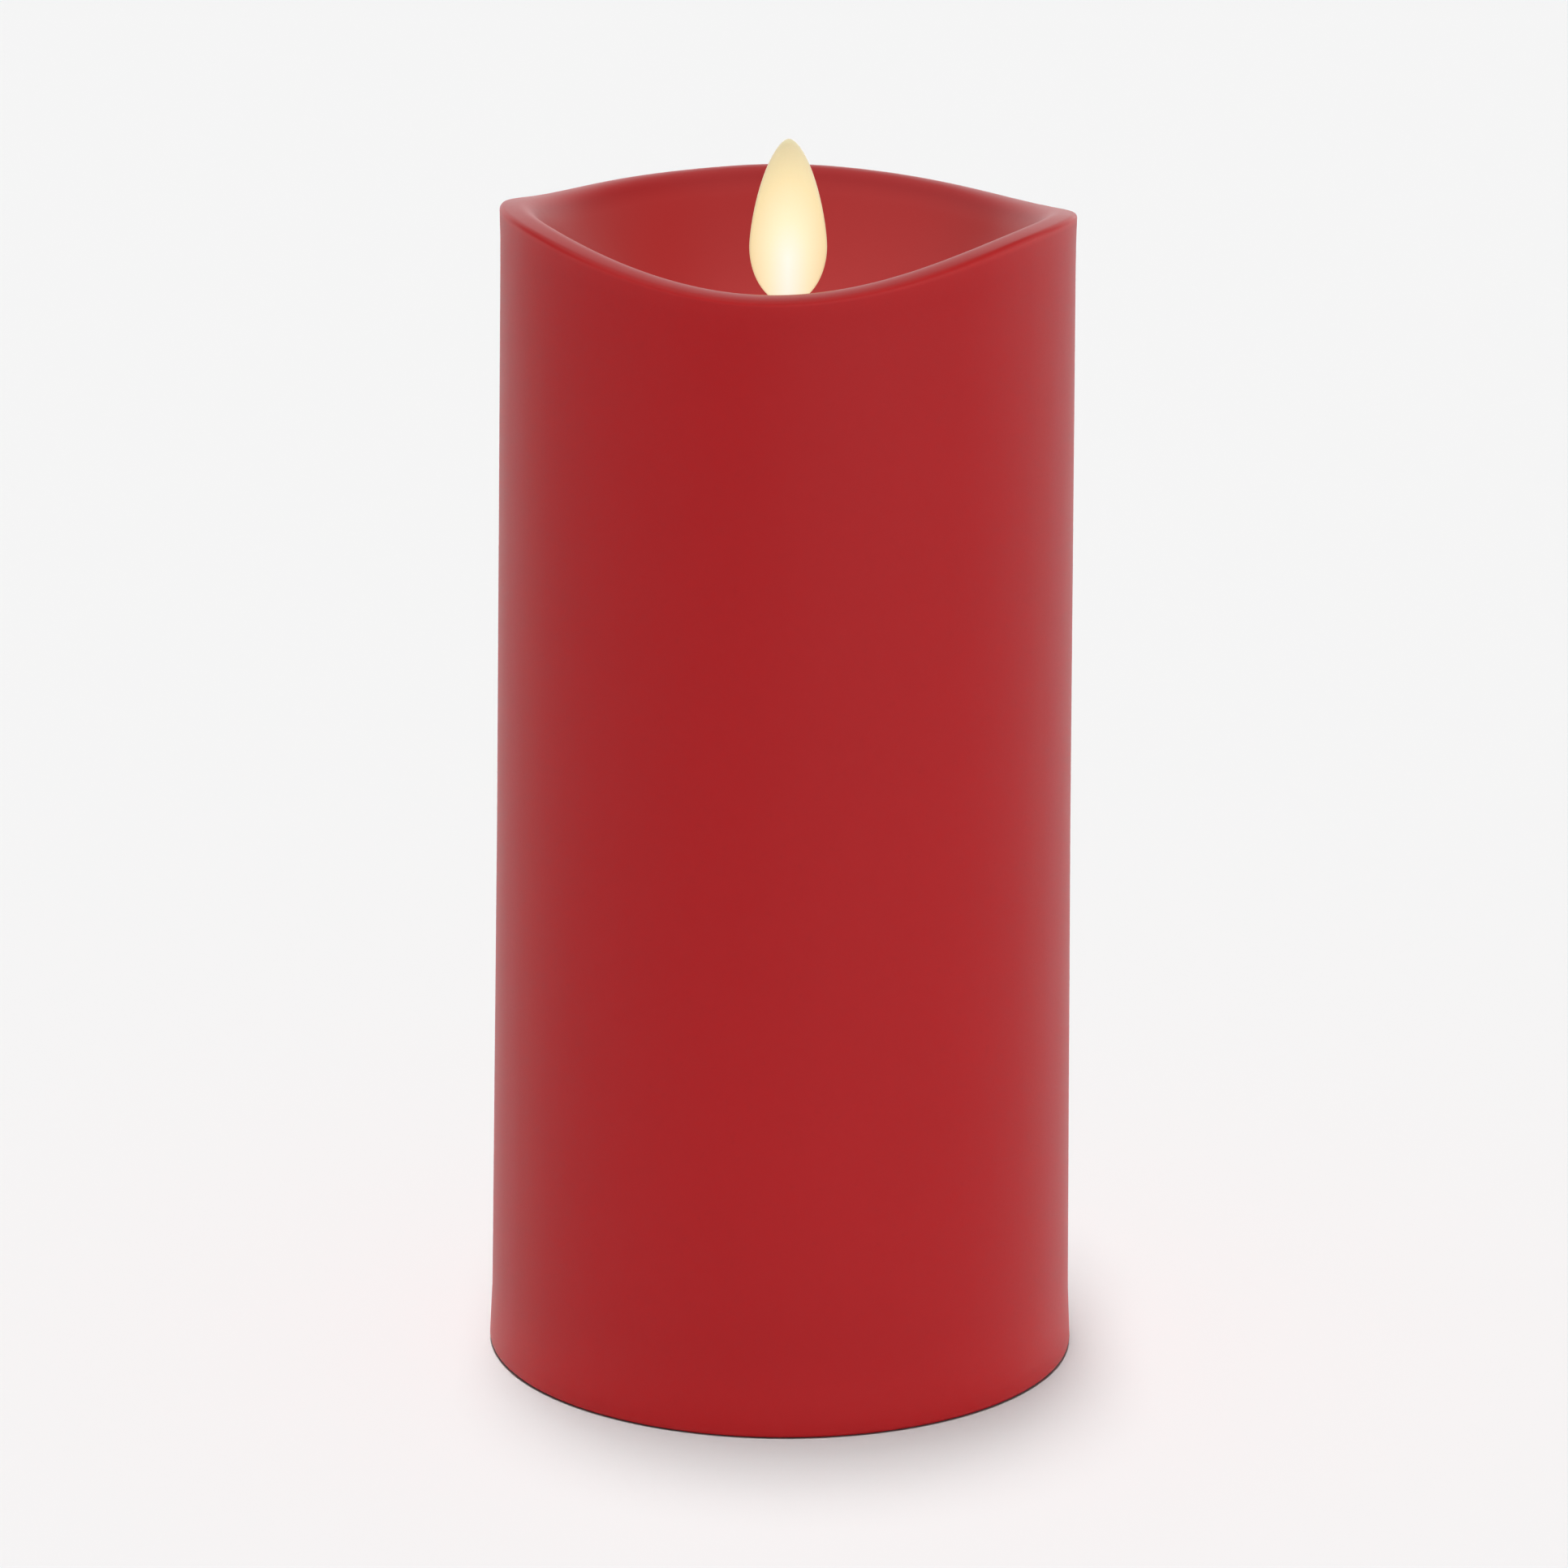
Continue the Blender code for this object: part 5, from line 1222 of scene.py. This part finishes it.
def resistor_body(low, high):
    """A dog-bone body lying along Y."""
    radius = (high.z - low.z) / 2
    length = high.y - low.y
    outline = [(0.0, 0.0)]
    outline += [(radius * (1.0 if share in (0.08, 0.2, 0.8, 0.92) else 0.82), length * share)
                for share in (0.03, 0.08, 0.2, 0.28, 0.72, 0.8, 0.92, 0.97)]
    mesh = turned("resistor_body", outline + [(0.0, length)], 32, 60.0)
    turn = Matrix.Rotation(math.radians(-90.0), 4, "X")
    mesh.transform(Matrix.Translation(((low.x + high.x) / 2, low.y, (low.z + high.z) / 2)) @ turn)
    return mesh


piece("chip_body", chip_body(*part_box("timer_chip")), "candle", "component", black_look, "timer_chip")
piece("chip_legs", chip_legs(*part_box("timer_chip")), "candle", "steel", solder_look)
piece("transistor_body", transistor_body(*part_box("drive_transistor")), "candle", "component", black_look,
      "drive_transistor")
piece("crystal_can", crystal_can(*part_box("clock_crystal")), "candle", "component", steel_look,
      "clock_crystal")
piece("capacitor_sleeve", capacitor_body(*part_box("smoothing_capacitor"), "sleeve"), "candle", "capacitor",
      capacitor_look, "smoothing_capacitor")
piece("capacitor_top", capacitor_body(*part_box("smoothing_capacitor"), "top"), "candle", "steel", solder_look)
for number in (1, 2):
    node = f"resistor_{number}"
    piece(f"resistor_body_{number}", resistor_body(*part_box(node)), "candle", "resistor", resistor_look, node)
leads = [lead((20.6, y, 126.2), (20.6, y, 125.0), (20.2, y, 124.4), (18.5, y, 124.2))
         for y in (-8.5, -7.25, -6.0)]
leads += [lead((20.4, y, 136.2), (20.4, y, 135.2), (18.5, y, 135.0)) for y in (-8.2, -5.4)]
leads += [lead((22.1, y, 123.2), (22.1, y, 121.9), (21.6, y, 121.4), (18.5, y, 121.4)) for y in (7.3, 9.7)]
for z in (140.0, 144.0):
    leads += [lead((20.0, -1.3, z), (20.0, -2.3, z), (19.6, -2.7, z), (18.5, -2.7, z)),
              lead((20.0, 4.3, z), (20.0, 5.3, z), (19.6, 5.7, z), (18.5, 5.7, z))]
piece("component_leads", joined("component_leads", *leads), "candle", "steel", solder_look)
print(f"components: chip, transistor, crystal, capacitor, two resistors and {len(leads)} leads")

# %% [markdown]
# ## Cells, contacts and springs
# Each cell is a steel can in a printed plastic sleeve, with a copper-coloured band at its positive
# end.  The two stand head to tail, so the right one is turned over.  A contact spring is a helix
# that narrows as it rises, swept by a loop over its turns.


# %% Cells
def cell_parts(node, upright):
    """Sleeve, band and metal ends of one cell, built standing up and turned over if need be."""
    low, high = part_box(node)
    radius = high.y
    length = high.z - low.z
    shoulder = length - 1.5 * MM
    rim = 0.6 * MM
    split = length * 0.72
    jacket = [(radius - 1.6 * MM, 0.05 * MM)] + arc(radius - rim, rim, rim, -90, 0, 5)
    jacket += [(radius, split), (radius - 1.6 * MM, split)]
    band = [(radius - 1.6 * MM, split), (radius, split)]
    band += arc(radius - rim, shoulder - rim, rim, 0, 90, 5) + [(radius - 1.6 * MM, shoulder - 0.05 * MM)]
    metal = [(0.0, 0.15 * MM), (radius - 4 * MM, 0.15 * MM), (radius - 3 * MM, 0.35 * MM),
             (radius - 1.5 * MM, 0.35 * MM), (radius - 1.5 * MM, shoulder - 0.35 * MM),
             (radius - 3 * MM, shoulder - 0.35 * MM), (3.2 * MM, shoulder - 0.2 * MM)]
    metal += arc(2.8 * MM, length - 0.4 * MM, 0.4 * MM, 0, 90, 5) + [(0.0, length)]
    place = Matrix.Translation(((low.x + high.x) / 2, 0.0, low.z if upright else high.z))
    if not upright:
        place = place @ Matrix.Rotation(math.pi, 4, "X")
    meshes = [turned(name, outline, 96) for name, outline in
              (("cell_jacket", jacket), ("cell_band", band), ("cell_can", metal))]
    for mesh in meshes:
        mesh.transform(place)
    return meshes


jacket_look = moulded_finish("cell_jacket", (0.020, 0.021, 0.024), (0.030, 0.031, 0.034), 0.30)
band_look = metal_finish("cell_band", (0.62, 0.34, 0.16), (0.72, 0.42, 0.22), 0.30, (1.0, 1.0, 0.1), 0.4)
for side, upright in (("left", True), ("right", False)):
    jacket, band, can = cell_parts(f"battery_cell_{side}", upright)
    piece(f"cell_jacket_{side}", jacket, "candle", "cell", jacket_look, f"battery_cell_{side}")
    piece(f"cell_band_{side}", band, "candle", "copper", band_look)
    piece(f"cell_can_{side}", can, "candle", "steel", steel_look)
print("cells: two, each a can, a sleeve and a band")


# %% Springs
SPRING_WIRE = 0.4 * MM


def coil_route(x, low, high, wide, narrow, turns, steps=24):
    """A conical helix round an upright axis, from its wide end to its narrow one."""
    count = int(turns * steps)
    route = []
    for step in range(count + 1):
        share = step / count
        angle = math.tau * turns * share
        radius = wide + (narrow - wide) * share
        height = low + (high - low) * share
        route.append(Vector((x + radius * math.cos(angle), radius * math.sin(angle), height)))
    return route


cell_x = (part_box("battery_cell_right")[0].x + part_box("battery_cell_right")[1].x) / 2
low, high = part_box("contact_spring")
top_turn = low.z + 1.85 * MM
spring = coil_route(cell_x, low.z + SPRING_WIRE, top_turn, 5.0 * MM, 1.2 * MM, 2.0)
spring += [Vector((cell_x, 0.0, top_turn + 1.3 * MM)), Vector((cell_x, 0.0, high.z))]
piece("spring_negative", bent_wire("spring_negative", spring, SPRING_WIRE), "candle", "steel", steel_look,
      "contact_spring")
low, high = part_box("door_contact_spring")
spring = coil_route(-cell_x, low.z + SPRING_WIRE, high.z - SPRING_WIRE, 5.0 * MM, 2.6 * MM, 2.5)
piece("spring_door", bent_wire("spring_door", spring, SPRING_WIRE), "door", "steel", steel_look,
      "door_contact_spring")
print("springs: two")


# %% Switch slider and door ribs
def slider_mesh():
    """A slider block with a ridged knob under it."""
    low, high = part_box("switch_slider")
    x, y = (low.x + high.x) / 2, (low.y + high.y) / 2
    wide, deep = 1.5 * MM, 1.3 * MM
    base = block("slider", (low.x, low.y, high.z - 2 * MM), high, 0.2 * MM)
    knob = block("knob", (x - wide, y - deep, low.z + 0.3 * MM),
                 (x + wide, y + deep, high.z - 1.8 * MM), 0.2 * MM)
    thin, short = 0.18 * MM, deep - 0.15 * MM
    ridges = [block("ridge", (x + step * MM - thin, y - short, low.z),
                    (x + step * MM + thin, y + short, low.z + 0.6 * MM), 0.1 * MM)
              for step in (-1.0, -0.5, 0.0, 0.5, 1.0)]
    return joined("slider", base, knob, *ridges)


def door_ribs():
    """Low ribs beside the door's finger groove."""
    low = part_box("battery_door")[0]
    ribs = [block("rib", (-9 * MM, low.y + (5.2 + 1.3 * row) * MM, low.z - 0.3 * MM),
                  (9 * MM, low.y + (5.8 + 1.3 * row) * MM, low.z + 0.3 * MM), 0.2 * MM) for row in range(4)]
    return joined("door_ribs", *ribs)


piece("slider", slider_mesh(), "slider", "black_plastic", white_look, "switch_slider")
piece("door_ribs", door_ribs(), "door", "black_plastic", black_look)
print("slider with its knob, and the door's ribs")

# %% [markdown]
# ## Wires
# The routes repeat the frame's wires, point by point in millimetres, and a smooth curve
# runs through them.  The coil's two leads are bare enamelled copper.  Each of the others is a copper
# core in an insulated jacket, stripped for about a millimetre at each end, where it is soldered.

# %% Wires
ROUTES = {
    "wire_battery_positive": ("red", (-13.5, 0, 65.3), (-13.5, 0, 72), (2, -5, 84), (18, -6.5, 96),
                              (24, -6, 106), (24, -6, 113), (23, -5.5, 118), (18.9, -5.5, 120)),
    "wire_battery_negative": ("black", (13.5, 0, 65.3), (13.5, 0, 72), (19, -1, 88), (24, -2.5, 102),
                              (24, -2.5, 113), (22.5, -2.5, 117), (18.9, -2.5, 118)),
    "wire_switch_feed": ("red", (-3, -26, 8.4), (-3, -26, 14), (2, -27, 38), (12, -27, 62), (27, -17, 84),
                         (31, -2, 97), (28, 2, 105), (24, 2, 110), (24, 2, 114), (18.9, 1.5, 118)),
    "wire_switch_return": ("yellow", (3, -26, 8.4), (3, -26, 14), (9, -28, 36), (19, -27, 58), (30, -15, 79),
                           (33, 3, 94), (29, 6, 104), (24, 6, 110), (24, 6, 113), (18.9, 5, 117)),
    "wire_lamp_positive": ("red", (0, -5.15, 153.7), (0, -5.15, 151.7), (5.75, -5.575, 145.5),
                           (10.5, -6, 142), (16.7, -6, 142)),
    "wire_lamp_negative": ("black", (0, -6.85, 153.7), (0, -6.85, 151.7), (5.75, -8.175, 148),
                           (10.5, -9.5, 147), (16.7, -9.5, 147)),
    "wire_coil_start": ("copper", (7.6, -4, 119), (16.7, -4, 119)),
    "wire_coil_end": ("copper", (7.6, 4, 119), (16.7, 4, 119)),
}
WIRE_LOOKS = {"red": moulded_finish("red_insulation", (0.42, 0.012, 0.012), (0.50, 0.018, 0.016), 0.38),
              "black": moulded_finish("black_insulation", (0.012, 0.012, 0.013), (0.020, 0.020, 0.021), 0.38),
              "yellow": moulded_finish("yellow_insulation", (0.68, 0.46, 0.03), (0.76, 0.54, 0.05), 0.38),
              "copper": copper_look}


def stripped(route, bare):
    """The part of a route that is further than bare from both of its ends."""
    lengths = np.cumsum([0.0] + [(b - a).length for a, b in zip(route, route[1:])])
    inner = [point for point, along in zip(route, lengths) if bare < along < lengths[-1] - bare]
    ends = [[np.interp(at, lengths, [point[axis] for point in route]) for axis in range(3)]
            for at in (bare, lengths[-1] - bare)]
    return [Vector(ends[0]), *inner, Vector(ends[1])]


THIN_WIRE, THICK_WIRE = 0.4 * MM, 0.65 * MM
BARE_END = 1.2 * MM
for node, (colour, *points) in ROUTES.items():
    radius = THIN_WIRE if "coil" in node or "lamp" in node else THICK_WIRE
    route = smooth_route([Vector(point) * MM for point in points], 8)
    if colour == "copper":
        piece(f"lead_{node}", bent_wire(node, route, radius, 16), "candle", "copper", copper_look, node)
        continue
    jacket = bent_wire(f"jacket_{node}", stripped(route, BARE_END), radius, 16)
    piece(f"jacket_{node}", jacket, "candle", f"{colour}_wire", WIRE_LOOKS[colour], node)
    core = bent_wire(f"core_{node}", route, radius * 0.5, 10)
    piece(f"core_{node}", core, "candle", "copper", copper_look)
print(f"wires: {len(ROUTES)}")
